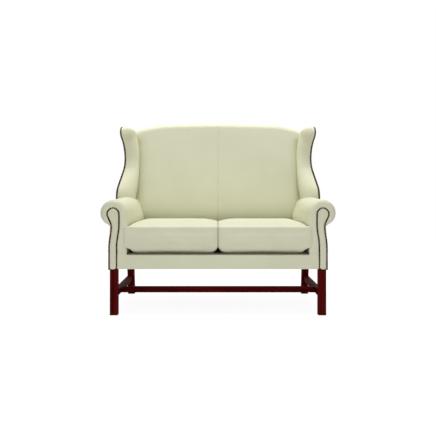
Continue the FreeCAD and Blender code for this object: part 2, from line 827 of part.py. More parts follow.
# Arm fronts and outsides: the nailed facing, and the panel from the roll's underside to the seat's edge
pair("arm_front_panel", padded("facing", "XZ", facing_path, front - facing_proud, front + facing_sunk))
outside_arm = padded("outside_arm_stock", "XZ", [
    (post_outer, leg_rise),
    (body_half, leg_rise),
    (body_half, panel_knee_z),
    (neck_x, neck_z),
    (post_outer, post_neck_z),
], rail_front_y, depth / 2)
pair("arm_outside_panel", cut("outside_arm", outside_arm, behind_frame))

# Outside back: one flat panel over the frame and the ends of the arm rolls
shoulder_x = wing_x(frame_rear(arm_rise))
shoulder_z = roll_z + root(roll_radius * roll_radius - (shoulder_x - roll_x) * (shoulder_x - roll_x))
half_outline = [(body_half, leg_rise), (body_half, panel_knee_z)]
half_outline += roll_path(roll_radius, (neck_x, neck_z))[:2]
top_corner = camel(wing_x(depth / 2), top_pad + clearance, leg_rise)
outside_half = half_outline[:3] + [
    (roll_x + roll_radius, roll_z, roll_radius, 1),
    (shoulder_x, shoulder_z),
    top_corner[2],
]
sweep = top_corner[3][2]
mirror_half = [
    (-outside_half[5][0], outside_half[5][1]),
    (-outside_half[4][0], outside_half[4][1], roll_radius, 1),
    (-outside_half[3][0], outside_half[3][1], roll_radius, 1),
    (-outside_half[2][0], outside_half[2][1]),
    (-outside_half[1][0], outside_half[1][1]),
    (-outside_half[0][0], outside_half[0][1]),
]
outside_outline = outside_half + [(camel_flat, top_corner[3][1], sweep, 1), (-camel_flat, top_corner[3][1])]
outside_outline += mirror_half
outside_front = padded("outside_back_outline", "XZ", outside_outline, front, depth)
outside_slab = padded("outside_back_slab", "YZ", [
    (frame_rear(leg_rise), leg_rise),
    (rear(leg_rise), leg_rise),
    (rear(height), height),
    (frame_rear(height), height),
], -width / 2, width / 2)
node("outside_back_panel", common("outside_back", outside_front, outside_slab))

# Seat cushions: walls through plan sections, with drawn-in sides and a bull-nose underside, under a crown
cushion_x = (cushion_gap / 2, arm_inner - cushion_gap)
cushion_low = deck_top + clearance


def cushion_section(label, level, inset):
    """One plan section: four sides that draw in between rounded corners."""
    x_low, x_high = cushion_x[0] + inset, cushion_x[1] - inset
    y_low = front - cushion_overhang + inset
    y_high = face(level) - cushion_gap - inset
    corner = cushion_corner

    def bow(length):
        """The radius of a side that draws in by cushion_draw over its length."""
        return (length * length / 4 + cushion_draw * cushion_draw) / (cushion_draw * 2)

    across = bow(x_high - x_low - corner * 2)
    along = bow(y_high - y_low - corner * 2)
    sketch = doc.addObject("Sketcher::SketchObject", label)
    bind(sketch, "Placement.Base.z", level)
    draw(sketch, [
        (x_low + corner, y_low, across, -1), (x_high - corner, y_low, corner, 1),
        (x_high, y_low + corner, along, -1), (x_high, y_high - corner, corner, 1),
        (x_high - corner, y_high, across, -1), (x_low + corner, y_high, corner, 1),
        (x_low, y_high - corner, along, -1), (x_low, y_low + corner, corner, 1),
    ])
    return sketch


def lofted(label, sections):
    """A solid with straight walls from each plan section to the next."""
    loft = doc.addObject("Part::Loft", label)
    loft.Sections = sections
    loft.Solid = True
    loft.Ruled = True
    return loft


def crowned(label, span, drop, along_y):
    """A long cylinder whose top is the crown, and which falls by drop over half the span."""
    half = (span[1] - span[0]) / 2
    radius = (half * half + drop * drop) / (drop * 2)
    cylinder = doc.addObject("Part::Cylinder", label)
    axis = FreeCAD.Vector(-1, 0, 0) if along_y else FreeCAD.Vector(0, 1, 0)
    cylinder.Placement.Rotation = FreeCAD.Rotation(axis, 90)
    bind(cylinder, "Radius", radius)
    bind(cylinder, "Height", width + depth)
    middle = (span[0] + span[1]) / 2
    start = -(width + depth) / 2
    for prop, place in zip("xy", (middle, start) if along_y else (start, middle)):
        bind(cylinder, "Placement.Base." + prop, place)
    bind(cylinder, "Placement.Base.z", seat_rise + cushion_crown - radius)
    return cylinder


wall = seat_rise - cushion_low
cushion_sections = [
    cushion_section("cushion_section_%d" % index, cushion_low + wall * rise, as_size(inset))
    for index, (rise, inset) in enumerate(((0.0, 11), (0.07, 1.5), (0.5, 0), (0.97, 1), (1.2, 1)))
]
cushion_y = (front - cushion_overhang, face(seat_rise) - cushion_gap)
cushion_crowns = common("cushion_crowns",
                        crowned("cushion_crown_across", cushion_x, cushion_side_crown, True),
                        crowned("cushion_crown_along", cushion_y, cushion_crown, False))
cushion_form = common("cushion_form", lofted("cushion_walls", cushion_sections), cushion_crowns)
core_x = (cushion_x[0] + cover_thick, cushion_x[1] - cover_thick)
core_y = (front - cushion_overhang + cover_thick, face(cushion_low) - cushion_gap - cover_thick)
core_z = (cushion_low + cover_thick, seat_rise)


def shrunk(span, gap):
    """A span with a gap at each end."""
    return (span[0] + gap, span[1] - gap)


cavity = block("cushion_cavity", core_x, core_y, core_z)
foam = block("cushion_foam", shrunk(core_x, clearance), shrunk(core_y, clearance), shrunk(core_z, clearance))
pair("seat_cushion_cover", cut("cushion_cover", cushion_form, cavity))
pair("seat_cushion_core", foam)

doc.recompute()
failed = [item.Label for item in doc.Objects if {"Invalid", "Error"} & set(item.State)]
for name, piece in nodes.items():
    if piece.Shape.isNull() or not piece.Shape.isValid() or not piece.Shape.Solids:
        failed.append(name)
if failed:
    raise RuntimeError("not built: " + ", ".join(failed))

os.makedirs("parts", exist_ok=True)
for name, piece in nodes.items():
    piece.Shape.exportStep("parts/%s.step" % name)
print("%d nodes written" % len(nodes))
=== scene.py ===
import bmesh
import bpy
import numpy as np
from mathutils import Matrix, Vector


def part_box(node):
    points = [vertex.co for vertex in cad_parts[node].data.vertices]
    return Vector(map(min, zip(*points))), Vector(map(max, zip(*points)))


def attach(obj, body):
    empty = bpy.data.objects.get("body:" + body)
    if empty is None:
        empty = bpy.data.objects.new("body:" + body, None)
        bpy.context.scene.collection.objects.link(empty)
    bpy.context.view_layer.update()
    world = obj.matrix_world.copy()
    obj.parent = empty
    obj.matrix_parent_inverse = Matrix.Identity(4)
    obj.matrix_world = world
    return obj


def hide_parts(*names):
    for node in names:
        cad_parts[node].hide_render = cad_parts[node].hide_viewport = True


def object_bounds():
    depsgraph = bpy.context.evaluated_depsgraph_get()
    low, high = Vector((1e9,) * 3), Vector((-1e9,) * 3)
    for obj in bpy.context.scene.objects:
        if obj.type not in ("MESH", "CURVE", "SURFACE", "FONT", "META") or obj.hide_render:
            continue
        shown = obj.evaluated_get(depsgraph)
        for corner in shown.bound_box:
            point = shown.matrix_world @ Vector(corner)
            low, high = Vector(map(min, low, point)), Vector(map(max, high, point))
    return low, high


# High back settee in cream leather, with wings, scrolled arms, two loose seat cushions, brass nailing and
# square legs joined by stretchers. Metres, with +X the right side seen from in front, -Y the front, +Z up.
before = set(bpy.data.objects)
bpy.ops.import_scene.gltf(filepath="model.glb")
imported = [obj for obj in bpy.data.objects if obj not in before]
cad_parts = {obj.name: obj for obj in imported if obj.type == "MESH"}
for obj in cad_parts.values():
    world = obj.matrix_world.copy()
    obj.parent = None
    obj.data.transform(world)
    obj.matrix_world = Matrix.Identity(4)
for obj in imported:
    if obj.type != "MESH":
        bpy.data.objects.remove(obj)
scene = bpy.context.scene
cad_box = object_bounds()
across, along, up = np.eye(3)
sides = (("right", 1, np.array([1.0, 1.0, 1.0])), ("left", -1, np.array([-1.0, 1.0, 1.0])))


# Studio. A white floor under even light, with one broad lamp overhead and a weaker one low in front. The
# camera looks level from just above the arms, with its frame dropped so that the settee sits in the middle.
camera_place = (0.0, -3.7235, 0.7053)
frame_drop = 0.0700
floor_reach = 30.0
white = (1.0, 1.0, 1.0, 1.0)
sky_light, sky_seen = 0.40, 1.0
floor_bounce, floor_seen, floor_glow = 0.80, 0.22, 0.93


def feed(tree, node, inputs):
    """Gives a node its inputs, as plain values or from other nodes' outputs."""
    for name, value in inputs.items():
        if isinstance(value, bpy.types.NodeSocket):
            tree.links.new(value, node.inputs[name])
        else:
            node.inputs[name].default_value = value


def add_node(tree, kind, inputs=None, **settings):
    """A node with its settings and inputs."""
    node = tree.nodes.new(kind)
    for name, value in settings.items():
        setattr(node, name, value)
    feed(tree, node, inputs or {})
    return node


def from_to(tree, factor, start, end):
    """A value that goes from start to end as the factor goes from 0 to 1."""
    return add_node(tree, "ShaderNodeMapRange",
                    {"Value": factor, "To Min": start, "To Max": end}).outputs["Result"]


def put_in(name, data):
    """An object for a lamp, camera or mesh, linked into the scene."""
    thing = bpy.data.objects.new(name, data)
    scene.collection.objects.link(thing)
    return thing


def mesh_of(name, points, faces):
    """A mesh from an array of points and lists of the points' numbers."""
    mesh = bpy.data.meshes.new(name)
    mesh.from_pydata(points.reshape(-1, 3).tolist(), [], faces)
    return mesh


def lamp(name, place, aim, size, watts):
    """A square area lamp that points from its place to its aim."""
    data = bpy.data.lights.new(name, "AREA")
    data.size = size
    data.energy = watts
    light = put_in(name, data)
    light.location = place
    light.rotation_euler = (Vector(aim) - Vector(place)).to_track_quat("-Z", "Y").to_euler()
    light.visible_camera = False


lens = bpy.data.cameras.new("camera")
lens.lens = 50.0
lens.sensor_width = 36.0
lens.shift_y = -frame_drop
camera = put_in("camera", lens)
camera.location = camera_place
camera.rotation_euler = (np.pi / 2, 0.0, 0.0)
scene.camera = camera
scene.view_settings.view_transform = "Standard"

lamp("overhead_lamp", (0.0, 0.03, 3.2), (0.0, -0.1, 0.6), 2.2, 68.0)
lamp("front_lamp", (0.0, -2.9, 0.12), (0.0, 0.0, 0.45), 0.9, 23.0)

world = bpy.data.worlds.new("studio")
world.use_nodes = True
scene.world = world
tree = world.node_tree
tree.nodes.clear()
rays = add_node(tree, "ShaderNodeLightPath").outputs
seen = add_node(tree, "ShaderNodeMath", {0: rays["Is Camera Ray"], 1: rays["Is Glossy Ray"]},
                operation="MAXIMUM").outputs["Value"]
sky = add_node(tree, "ShaderNodeBackground",
               {"Color": white, "Strength": from_to(tree, seen, sky_light, sky_seen)})
add_node(tree, "ShaderNodeOutputWorld", {"Surface": sky.outputs["Background"]})

floor_finish = bpy.data.materials.new("floor")
floor_finish.use_nodes = True
tree = floor_finish.node_tree
tree.nodes.clear()
by_camera = add_node(tree, "ShaderNodeLightPath").outputs["Is Camera Ray"]
matt = add_node(tree, "ShaderNodeBsdfDiffuse", {"Color": from_to(tree, by_camera, floor_bounce, floor_seen)})
glow = add_node(tree, "ShaderNodeMath", {0: by_camera, 1: floor_glow}, operation="MULTIPLY").outputs["Value"]
shine = add_node(tree, "ShaderNodeEmission", {"Color": white, "Strength": glow})
blend = add_node(tree, "ShaderNodeAddShader", {0: matt.outputs["BSDF"], 1: shine.outputs["Emission"]})
add_node(tree, "ShaderNodeOutputMaterial", {"Surface": blend.outputs["Shader"]})
ground = np.array([(-1, -1, 0), (1, -1, 0), (1, 1, 0), (-1, 1, 0)]) * floor_reach
floor_mesh = mesh_of("floor", ground, [(0, 1, 2, 3)])
floor_mesh.materials.append(floor_finish)
put_in("floor", floor_mesh)


# Legs and stretchers. Square hardwood, eased at the edges, stained dark red and polished. The grain runs
# along each piece, so there is one finish for each direction.
def blank_finish(name):
    """A new finish with its shader, and the place on the settee that its pattern is drawn at."""
    finish = bpy.data.materials.new(name)
    finish.use_nodes = True
    shader = finish.node_tree.nodes["Principled BSDF"]
    place = add_node(finish.node_tree, "ShaderNodeTexCoord").outputs["Object"]
    return finish, finish.node_tree, shader, place


def ramp(tree, factor, stops):
    """A colour for each stop of a factor, blended between."""
    node = add_node(tree, "ShaderNodeValToRGB", {"Fac": factor})
    while len(node.color_ramp.elements) < len(stops):
        node.color_ramp.elements.new(0.5)
    for element, (position, colour) in zip(node.color_ramp.elements, stops):
        element.position = position
        element.color = (*colour, 1.0)
    return node.outputs["Color"]


def relief(tree, height, distance, strength, under=None):
    """A bump from a height, on top of another bump where there is one."""
    inputs = {"Height": height, "Distance": distance, "Strength": strength}
    if under is not None:
        inputs["Normal"] = under
    return add_node(tree, "ShaderNodeBump", inputs).outputs["Normal"]


def noise(tree, place, scale, detail, roughness=0.5, distortion=0.0):
    """A cloudy pattern over a place."""
    return add_node(tree, "ShaderNodeTexNoise", {"Vector": place, "Scale": scale, "Detail": detail,
                                                 "Roughness": roughness,
                                                 "Distortion": distortion}).outputs["Fac"]


def drawn_out(tree, place, grain, slow, fast):
    """The place scaled slowly along the grain and fast across it, so that a pattern over it is drawn out."""
    scale = [slow if axis == grain else fast for axis in range(3)]
    return add_node(tree, "ShaderNodeMapping", {"Vector": place, "Scale": scale}).outputs["Vector"]


def polished_wood(name, grain):
    """Stained wood: fine noise drawn out along the grain gives the streaks, and a broad one the bands."""
    finish, tree, shader, place = blank_finish(name)
    streak = noise(tree, drawn_out(tree, place, grain, 5.0, 90.0), 1.0, 5.0, roughness=0.65)
    band = noise(tree, drawn_out(tree, place, grain, 1.2, 22.0), 1.0, 2.0, distortion=0.6)
    figure = add_node(tree, "ShaderNodeMix", {0: 0.45, 2: streak, 3: band}).outputs[0]
    stain = ramp(tree, figure, [(0.30, (0.032, 0.0014, 0.0011)), (0.48, (0.085, 0.0036, 0.0028)),
                                (0.66, (0.150, 0.0070, 0.0052))])
    feed(tree, shader, {"Base Color": stain, "Roughness": from_to(tree, streak, 0.42, 0.58),
                        "Normal": relief(tree, streak, 0.0004, 0.5), "Specular IOR Level": 0.012})
    return finish


def finish_nodes(finish, pairs, singles=()):
    """Puts a finish on pieces that keep their CAD shape, both of each pair and the single ones."""
    for name in [pair + "_" + side[0] for pair in pairs for side in sides] + list(singles):
        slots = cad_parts[name].data.materials
        slots.clear()
        slots.append(finish)


finish_nodes(polished_wood("leg_wood", 2), ["leg_front", "leg_rear"])
finish_nodes(polished_wood("side_stretcher_wood", 1), ["stretcher_side"])
finish_nodes(polished_wood("cross_stretcher_wood", 0), [], ["stretcher_cross"])


# Frame inside the upholstery. Bare beech rails, posts and boards, glued and screwed, with woven jute straps
# tacked over them and black lining cloth under the seat. None of it shows until a cushion is lifted off.
def bare_timber(name, grain):
    """Pale beech: flecks drawn out along the grain."""
    finish, tree, shader, place = blank_finish(name)
    fleck = noise(tree, drawn_out(tree, place, grain, 14.0, 160.0), 1.0, 4.0)
    colour = ramp(tree, fleck, [(0.35, (0.42, 0.25, 0.12)), (0.60, (0.60, 0.40, 0.21))])
    feed(tree, shader, {"Base Color": colour, "Roughness": 0.72, "Normal": relief(tree, fleck, 0.0003, 0.4)})
    return finish


def woven_cloth(name, dark, light, fineness):
    """Plain weave: two sets of waves at right angles, light where the crests of both meet."""
    finish, tree, shader, place = blank_finish(name)
    waves = [add_node(tree, "ShaderNodeTexWave", {"Vector": place, "Scale": fineness, "Distortion": 0.6},
                      bands_direction=axis).outputs["Fac"] for axis in ("X", "Y")]
    weave = add_node(tree, "ShaderNodeMath", {0: waves[0], 1: waves[1]},
                     operation="MULTIPLY").outputs["Value"]
    colour = ramp(tree, weave, [(0.10, dark), (0.70, light)])
    feed(tree, shader, {"Base Color": colour, "Roughness": 0.95, "Normal": relief(tree, weave, 0.0005, 0.7)})
    return finish


finish_nodes(bare_timber("upright_timber", 2), ["arm_front_post", "back_post", "wing_frame",
                                                "corner_block_front", "corner_block_rear"],
             ["back_centre_upright"])
finish_nodes(bare_timber("level_timber", 0), [], ["seat_rail_front", "seat_rail_rear", "back_top_rail",
                                                  "back_lower_rail"])
finish_nodes(bare_timber("side_timber", 1), ["seat_rail_side", "arm_lower_rail", "arm_top_rail"],
             ["seat_rail_centre"])
finish_nodes(woven_cloth("jute_straps", (0.16, 0.11, 0.06), (0.34, 0.26, 0.16), 45.0), [],
             ["seat_webbing", "back_webbing"])
finish_nodes(woven_cloth("black_lining", (0.006, 0.006, 0.006), (0.030, 0.030, 0.030), 80.0), [],
             ["dust_cover"])


# Seat deck. A platform of lining cloth, quilted in squares over thin wadding and stretched between the
# rails, which the two cushions lie on. Its cream is darkened as painted shade for the gap under the cushions.
def smooth(value, low, high):
    """0 below low, 1 above high, and an S-shaped rise between them."""
    share = np.clip((value - low) / (high - low), 0.0, 1.0)
    return share * share * (3.0 - 2.0 * share)


def unit(vectors):
    """The same directions, each of length 1."""
    return vectors / np.maximum(np.linalg.norm(vectors, axis=-1, keepdims=True), 1e-12)


def normals_of(grid):
    """Normals of a grid of points, from the cross product of its rows' and columns' directions."""
    return unit(np.cross(np.gradient(grid, axis=0), np.gradient(grid, axis=1)))


def piece_of(name, mesh, finish):
    """A mesh put into the scene as one smooth piece, with its finish."""
    mesh.shade_smooth()
    mesh.materials.append(finish)
    piece = put_in(name, mesh)
    return piece


def cover(name, grid, outside, finish, thick=0.005):
    """A sheet over a grid of points. Its middle looks the way outside says, and its thickness lies behind."""
    rows, columns = grid.shape[:2]
    corner = np.arange(rows * columns).reshape(rows, columns)
    faces = np.stack([corner[:-1, :-1], corner[1:, :-1], corner[1:, 1:], corner[:-1, 1:]], -1).reshape(-1, 4)
    if normals_of(grid)[rows // 2, columns // 2] @ outside < 0:
        faces = faces[:, ::-1]
    mesh = mesh_of(name, grid, faces.tolist())
    work = bmesh.new()
    work.from_mesh(mesh)
    bmesh.ops.remove_doubles(work, verts=work.verts, dist=1e-5)
    work.to_mesh(mesh)
    work.free()
    piece = piece_of(name, mesh, finish)
    backing = piece.modifiers.new("thickness", "SOLIDIFY")
    backing.thickness = thick
    backing.offset = -1.0
    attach(piece, "settee")
    return piece


deck_low, deck_high = np.array(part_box("seat_deck"))
quilt_pitch, quilt_depth, quilt_fullness = 0.075, 0.0035, 0.35
# Cloth colours: the lining's cream, darkened as painted shade so that the gap under the cushions' fronts
# reads dark.
deck_cloth_darkened_as_shade = woven_cloth("quilted_cloth_darkened_as_shade", (0.20, 0.192, 0.165), (0.30, 0.29, 0.25), 70.0)
deck_x, deck_y = np.meshgrid(np.linspace(deck_low[0], deck_high[0], 230),
                             np.linspace(deck_low[1], deck_high[1], 140), indexing="ij")
squares = np.sin(np.pi * deck_x / quilt_pitch) * np.sin(np.pi * deck_y / quilt_pitch)
deck_z = deck_high[2] - quilt_depth * (1.0 - np.abs(squares) ** quilt_fullness)
deck = cover("quilted_deck", np.stack([deck_x, deck_y, deck_z], -1), up, deck_cloth_darkened_as_shade, 0.002)
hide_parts("seat_deck")


# Front border. Leather over thin wadding on the front rail, turned under at the bottom and rolled over at
# the top, in one width with the feet of the arm fronts. The arms' leather laps over its outer ends.
border_low, border_high = np.array(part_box("front_border"))
arm_low, arm_high = np.array(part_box("arm_pad_right"))
front_y = border_low[1]
seam_z = border_high[2]
hem_z = border_low[2]
arm_inner = arm_low[0]
roll_radius = (arm_high[0] - arm_low[0]) / 2
roll_x = arm_inner + roll_radius
roll_z = arm_high[2] - roll_radius
body_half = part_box("arm_outside_panel_right")[1][0]
stem_inner_foot, stem_inner_waist = roll_x - 0.0193, roll_x - 0.0322
stem_foot_z, stem_waist_z = 0.380, 0.500
hem_radius, brow_radius, brow_drop, lap = 0.003, 0.0085, 0.0055, 0.0035
under_in = np.array([0.012, 0.008, 0.005])
brow_in = np.array([0.011, 0.013, 0.0145])
face_rows = 22
border_crown = 0.0016


def leather(name):
    """Cream leather: soft clouds of tone and a fine pebbled grain, over faint creases."""
    finish, tree, shader, place = blank_finish(name)
    cloud = noise(tree, place, 6.0, 4.0, roughness=0.55)
    grain = add_node(tree, "ShaderNodeTexVoronoi", {"Vector": place, "Scale": 520.0, "Randomness": 1.0},
                     feature="SMOOTH_F1").outputs["Distance"]
    crease = noise(tree, place, 60.0, 6.0, distortion=0.4)
    tone = add_node(tree, "ShaderNodeMix", {0: 0.25, 2: cloud, 3: crease}).outputs[0]
    colour = ramp(tree, tone, [(0.34, (0.690, 0.688, 0.512)), (0.50, (0.710, 0.709, 0.532)),
                               (0.68, (0.728, 0.728, 0.552))])
    pebbled = relief(tree, grain, 0.0003, 0.30, relief(tree, crease, 0.0008, 0.35))
    feed(tree, shader, {"Base Color": colour, "Roughness": from_to(tree, crease, 0.44, 0.60),
                        "Normal": pebbled, "Specular IOR Level": 0.25})
    return finish


def ripple(points, size, height, seed):
    """A soft unevenness: six waves of about one size in chance directions, added up, within one height."""
    chance = np.random.default_rng(seed)
    total = np.zeros(points.shape[:-1])
    for _ in range(6):
        way = chance.normal(size=3)
        way *= 2.0 * np.pi / (size * chance.uniform(0.7, 1.5) * np.linalg.norm(way))
        total += np.sin(points @ way + chance.uniform(0.0, 6.28))
    return height * total / 6.0


def stem_inner(level):
    """X of the inner nail line on the stem of an arm's front, which spreads towards its foot."""
    return stem_inner_foot + (stem_inner_waist - stem_inner_foot) * smooth(level, stem_foot_z, stem_waist_z)


cream = leather("cream_leather")
quarter = np.radians(np.linspace(0.0, 90.0, 6))
face_levels = np.linspace(hem_z + hem_radius, seam_z - brow_drop - brow_radius, face_rows)
inside_columns = np.linspace(0.0, arm_inner - 0.0005, 90)
end_columns = np.linspace(arm_inner + 0.0005, stem_inner_foot, 14)
half_columns = np.concatenate([inside_columns, end_columns])
columns = np.concatenate([-half_columns[:0:-1], half_columns])[:, None]
section_y = np.concatenate([front_y + under_in, front_y + hem_radius * (1.0 - np.sin(quarter)),
                            np.full(face_rows, front_y)])
section_z = np.concatenate([np.full(3, hem_z), hem_z + hem_radius * (1.0 - np.cos(quarter)), face_levels])

# The top rows: rolled over between the arms, and straight up behind the arms' leather at both ends
brow_y = np.append(front_y + brow_radius * (1.0 - np.cos(quarter[1:])), front_y + brow_in)
brow_z = seam_z - brow_drop - brow_radius * (1.0 - np.sin(quarter[1:]))
brow = np.stack([brow_y, np.append(brow_z, [brow_z[-1]] * 3)])
lap_z = np.linspace(face_levels[-1], seam_z + lap, len(brow_y) + 1)[1:]
lapped = np.stack([np.full(len(brow_y), front_y + 0.0003), lap_z])
at_ends = (np.abs(columns) > arm_inner).astype(float)
top_rows = brow[:, None, :] * (1.0 - at_ends) + lapped[:, None, :] * at_ends
border_y = np.concatenate([np.repeat(section_y[None], len(columns), 0), top_rows[0]], 1)
border_z = np.concatenate([np.repeat(section_z[None], len(columns), 0), top_rows[1]], 1)
middle = np.sin(np.pi * np.clip((border_z - hem_z) / (seam_z - hem_z), 0.0, 1.0))
border = np.stack([np.repeat(columns, border_y.shape[1], 1), border_y, border_z], -1)
border[..., 1] -= border_crown * middle * (1.0 - smooth(np.abs(border[..., 0]), 0.46, 0.53))
border[..., 1] += ripple(border, 0.12, 0.0007, 3) * middle
border_piece = cover("front_border_leather", border, -along, cream)
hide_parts("front_border")


# Arms. Each arm's leather goes from the nail line over the front's rounded edge, down the inner face and
# round the padded scroll to its neck. The keyhole facing and the flat outside are separate pieces of hide.
head_x, head_z, head_radius = roll_x + 0.0008, roll_z - 0.0049, 0.0326
stem_outer_foot, stem_outer_waist = body_half - 0.0036, body_half - 0.0155
outer_foot_z, outer_waist_z = 0.372, 0.488
head_leave, neck_turn = np.radians([-25.0, -75.0])
neck_flat = 0.0062
front_radius = 0.0260
valley = 0.0012
pleat_count, pleat_height, pleat_reach = 13, 0.0006, 0.026
arm_toe_in, arm_lift = 0.026, 0.008
facing_puff, facing_fold, fold_count = 0.0032, 0.0006, 2.4
wall_edge, wall_puff = 0.0035, 0.0020
wall_rows, rung_count = 60, 130
neck_start_z = 0.385
rear_lean, crest_rear_y = 0.13, 0.3985
rear_y, crest_z = cad_box[1][1], cad_box[1][2]


def shares(count):
    """Equal steps from 0 to 1."""
    return np.linspace(0.0, 1.0, count)


def bezier(a, b, c, d, count):
    """The cubic curve from a to d that sets out towards b and arrives from c."""
    t = shares(count)[:, None]
    return (1 - t) ** 3 * a + 3 * (1 - t) ** 2 * t * b + 3 * (1 - t) * t**2 * c + t**3 * d


def even(line, count):
    """The same line with its points at equal steps along it, measured on the first three columns."""
    length = np.append(0.0, np.cumsum(np.linalg.norm(np.diff(line[:, :3], axis=0), axis=1)))
    steps = np.linspace(0.0, length[-1], count)
    return np.stack([np.interp(steps, length, values) for values in line.T], -1)


def round_about(centre, radius, start, end, count):
    """Points on a circle between two angles."""
    angle = np.linspace(start, end, count)
    return np.stack([centre[0] + radius * np.cos(angle), centre[1] + radius * np.sin(angle)], -1)


def rear(level):
    """Y of the outside back's face, which leans back with height."""
    return crest_rear_y - rear_lean * (crest_z - level)


def stem_outer(level):
    """X of the outer nail line on the stem, drawn in at the waist and spread at the foot."""
    return stem_outer_foot + (stem_outer_waist - stem_outer_foot) * smooth(level, outer_foot_z, outer_waist_z)


head = np.array([head_x, head_z])
waist = np.array([stem_outer_waist, outer_waist_z])
leave = head + head_radius * np.array([np.cos(head_leave), np.sin(head_leave)])
leave_way = np.array([np.sin(head_leave), -np.cos(head_leave)])
throat = bezier(leave, leave + leave_way * 0.020, waist + [0.0, 0.019], waist, 30)
nail_round = np.concatenate([round_about(head, head_radius, np.pi, head_leave, 70), throat[1:]])

# The arm's section: up the inner face, then round the scroll to the neck, with the nail line beside it
side_count, round_count = 44, 120
side_levels = np.linspace(seam_z, roll_z, side_count)
angle = np.linspace(np.pi, neck_turn, round_count)[1:]
scroll_radius = roll_radius - neck_flat * smooth(-angle, 0.0, -neck_turn)
section = np.concatenate([
    np.stack([np.full(side_count, arm_inner), side_levels], -1),
    np.stack([roll_x + scroll_radius * np.cos(angle), roll_z + scroll_radius * np.sin(angle)], -1),
])
section_out = np.concatenate([np.tile([-1.0, 0.0], (side_count, 1)),
                              np.stack([np.cos(angle), np.sin(angle)], -1)])
nail_levels = seam_z + (side_levels - seam_z) * (head_z - seam_z) / (roll_z - seam_z)
nail_side = np.stack([stem_inner(nail_levels), nail_levels], -1)
nail_line = np.concatenate([nail_side, even(nail_round, round_count)[1:]])
edge_radius = front_radius * np.concatenate([
    0.15 + 0.85 * smooth(side_levels, seam_z, seam_z + 0.055),
    1.0 - 0.85 * smooth(-angle, np.radians(5.0), -neck_turn),
])
turning = np.concatenate([np.zeros(side_count), shares(round_count)[1:]])

# The leather from the nails out to the front's edge, round the edge, and back along the arm
edge_radius = edge_radius[:, None]
flat_edge = section - section_out * edge_radius
strip = shares(14)[None, :, None]
strip_plan = nail_line[:, None] + (flat_edge - nail_line)[:, None] * strip
from_nails = np.linalg.norm(strip_plan - nail_line[:, None], axis=-1)
strip_width = np.linalg.norm(flat_edge - nail_line, axis=-1)[:, None]
pleats = np.sin(2.0 * np.pi * pleat_count * turning)[:, None] * smooth(turning, 0.0, 0.08)[:, None]
pleats = pleats * np.clip(1.0 - from_nails / pleat_reach, 0.0, 1.0) ** 1.5 * smooth(strip_width, 0.008, 0.02)
strip_y = front_y + valley * (1.0 - smooth(from_nails, 0.0, 0.011)) + pleat_height * pleats
bend = np.radians(np.linspace(0.0, 90.0, 12))[None, 1:]
bend_plan = flat_edge[:, None] + section_out[:, None] * (edge_radius * np.sin(bend))[..., None]
bend_y = front_y + edge_radius * (1.0 - np.cos(bend))
run = shares(70)[None, 1:]
run_start = front_y + edge_radius
run_y = run_start + (rear(section[:, 1])[:, None] - 0.006 - run_start) * run
run_plan = np.repeat(section[:, None], run.shape[1], 1)
arm_plan = np.concatenate([strip_plan, bend_plan, run_plan], 1)
arm_y = np.concatenate([strip_y, bend_y, run_y], 1)
arm = np.stack([arm_plan[..., 0], arm_y, arm_plan[..., 1]], -1)

# Towards the rear the inner face leans in above the cushions, and the roll's top rises
towards_rear = smooth(arm[..., 1], front_y + 0.06, 0.16)
toe_in = arm_toe_in * towards_rear * smooth(arm[..., 2], 0.468, 0.505)
toe_in *= 1.0 - 0.7 * smooth(arm[..., 2], 0.52, 0.595)
arm[..., 0] -= toe_in * np.clip((roll_x - arm[..., 0]) / roll_radius, 0.0, 1.0)
arm[..., 2] += arm_lift * towards_rear * np.clip((arm[..., 2] - roll_z) / roll_radius, 0.0, 1.0)
loose = smooth(arm[..., 1], front_y, front_y + 0.05) * (1.0 - smooth(arm[..., 1], 0.22, 0.30))
arm += normals_of(arm) * (ripple(arm, 0.13, 0.0009, 8) * loose)[..., None]

# The keyhole facing: rungs between the nail line's inner and outer halves, which meet over the head
inner_levels = np.linspace(hem_z, head_z, 60)
inner_half = np.concatenate([np.stack([stem_inner(inner_levels), inner_levels], -1),
                             round_about(head, head_radius, np.pi, np.pi / 2, 30)[1:]])
outer_levels = np.linspace(hem_z, outer_waist_z, 50)
outer_half = np.concatenate([np.stack([stem_outer(outer_levels), outer_levels], -1), throat[::-1][1:],
                             round_about(head, head_radius, head_leave, np.pi / 2, 50)[1:]])
rung_start, rung_end = even(inner_half, rung_count)[:, None], even(outer_half, rung_count)[:, None]
rung = (0.5 - 0.5 * np.cos(np.linspace(0.0, np.pi, 30)))[None, :, None]
facing_plan = rung_start + (rung_end - rung_start) * rung
to_edge = np.minimum(np.linalg.norm(facing_plan - rung_start, axis=-1),
                     np.linalg.norm(facing_plan - rung_end, axis=-1))
folds = np.cos(2.0 * np.pi * fold_count * rung[..., 0]) * smooth(facing_plan[..., 1], 0.34, 0.47)
facing_y = front_y + valley - facing_puff * smooth(to_edge, 0.0, 0.012)
facing_y = facing_y + facing_fold * folds * smooth(to_edge, 0.0, 0.01)
facing = np.stack([facing_plan[..., 0], facing_y, facing_plan[..., 1]], -1)

# The outside: a flat panel from the neck to the hem, turned over the front edge under the nails
wall_top_z = roll_z + scroll_radius[-1] * np.sin(neck_turn) + 0.001
wall_levels = np.linspace(hem_z, wall_top_z, wall_rows)[:, None]
neck_x = section[-1, 0]
wall_x = body_half + (neck_x - 0.0005 - body_half) * smooth(wall_levels, neck_start_z, wall_top_z)
wall_nails = stem_outer(wall_levels)
lip = shares(4)[None, :]
lip_x = wall_nails + (wall_x - wall_edge - wall_nails) * lip
wall_bend = quarter[None, 1:]
wall_run = shares(50)[None, 1:]
wall_run_y = front_y + wall_edge + (rear(wall_levels) - 0.004 - front_y - wall_edge) * wall_run
wall_all_x = np.concatenate([lip_x, wall_x - wall_edge + wall_edge * np.sin(wall_bend),
                             np.repeat(wall_x, wall_run.shape[1], 1)], 1)
wall_bend_y = np.repeat(front_y + wall_edge * (1.0 - np.cos(wall_bend)), wall_rows, 0)
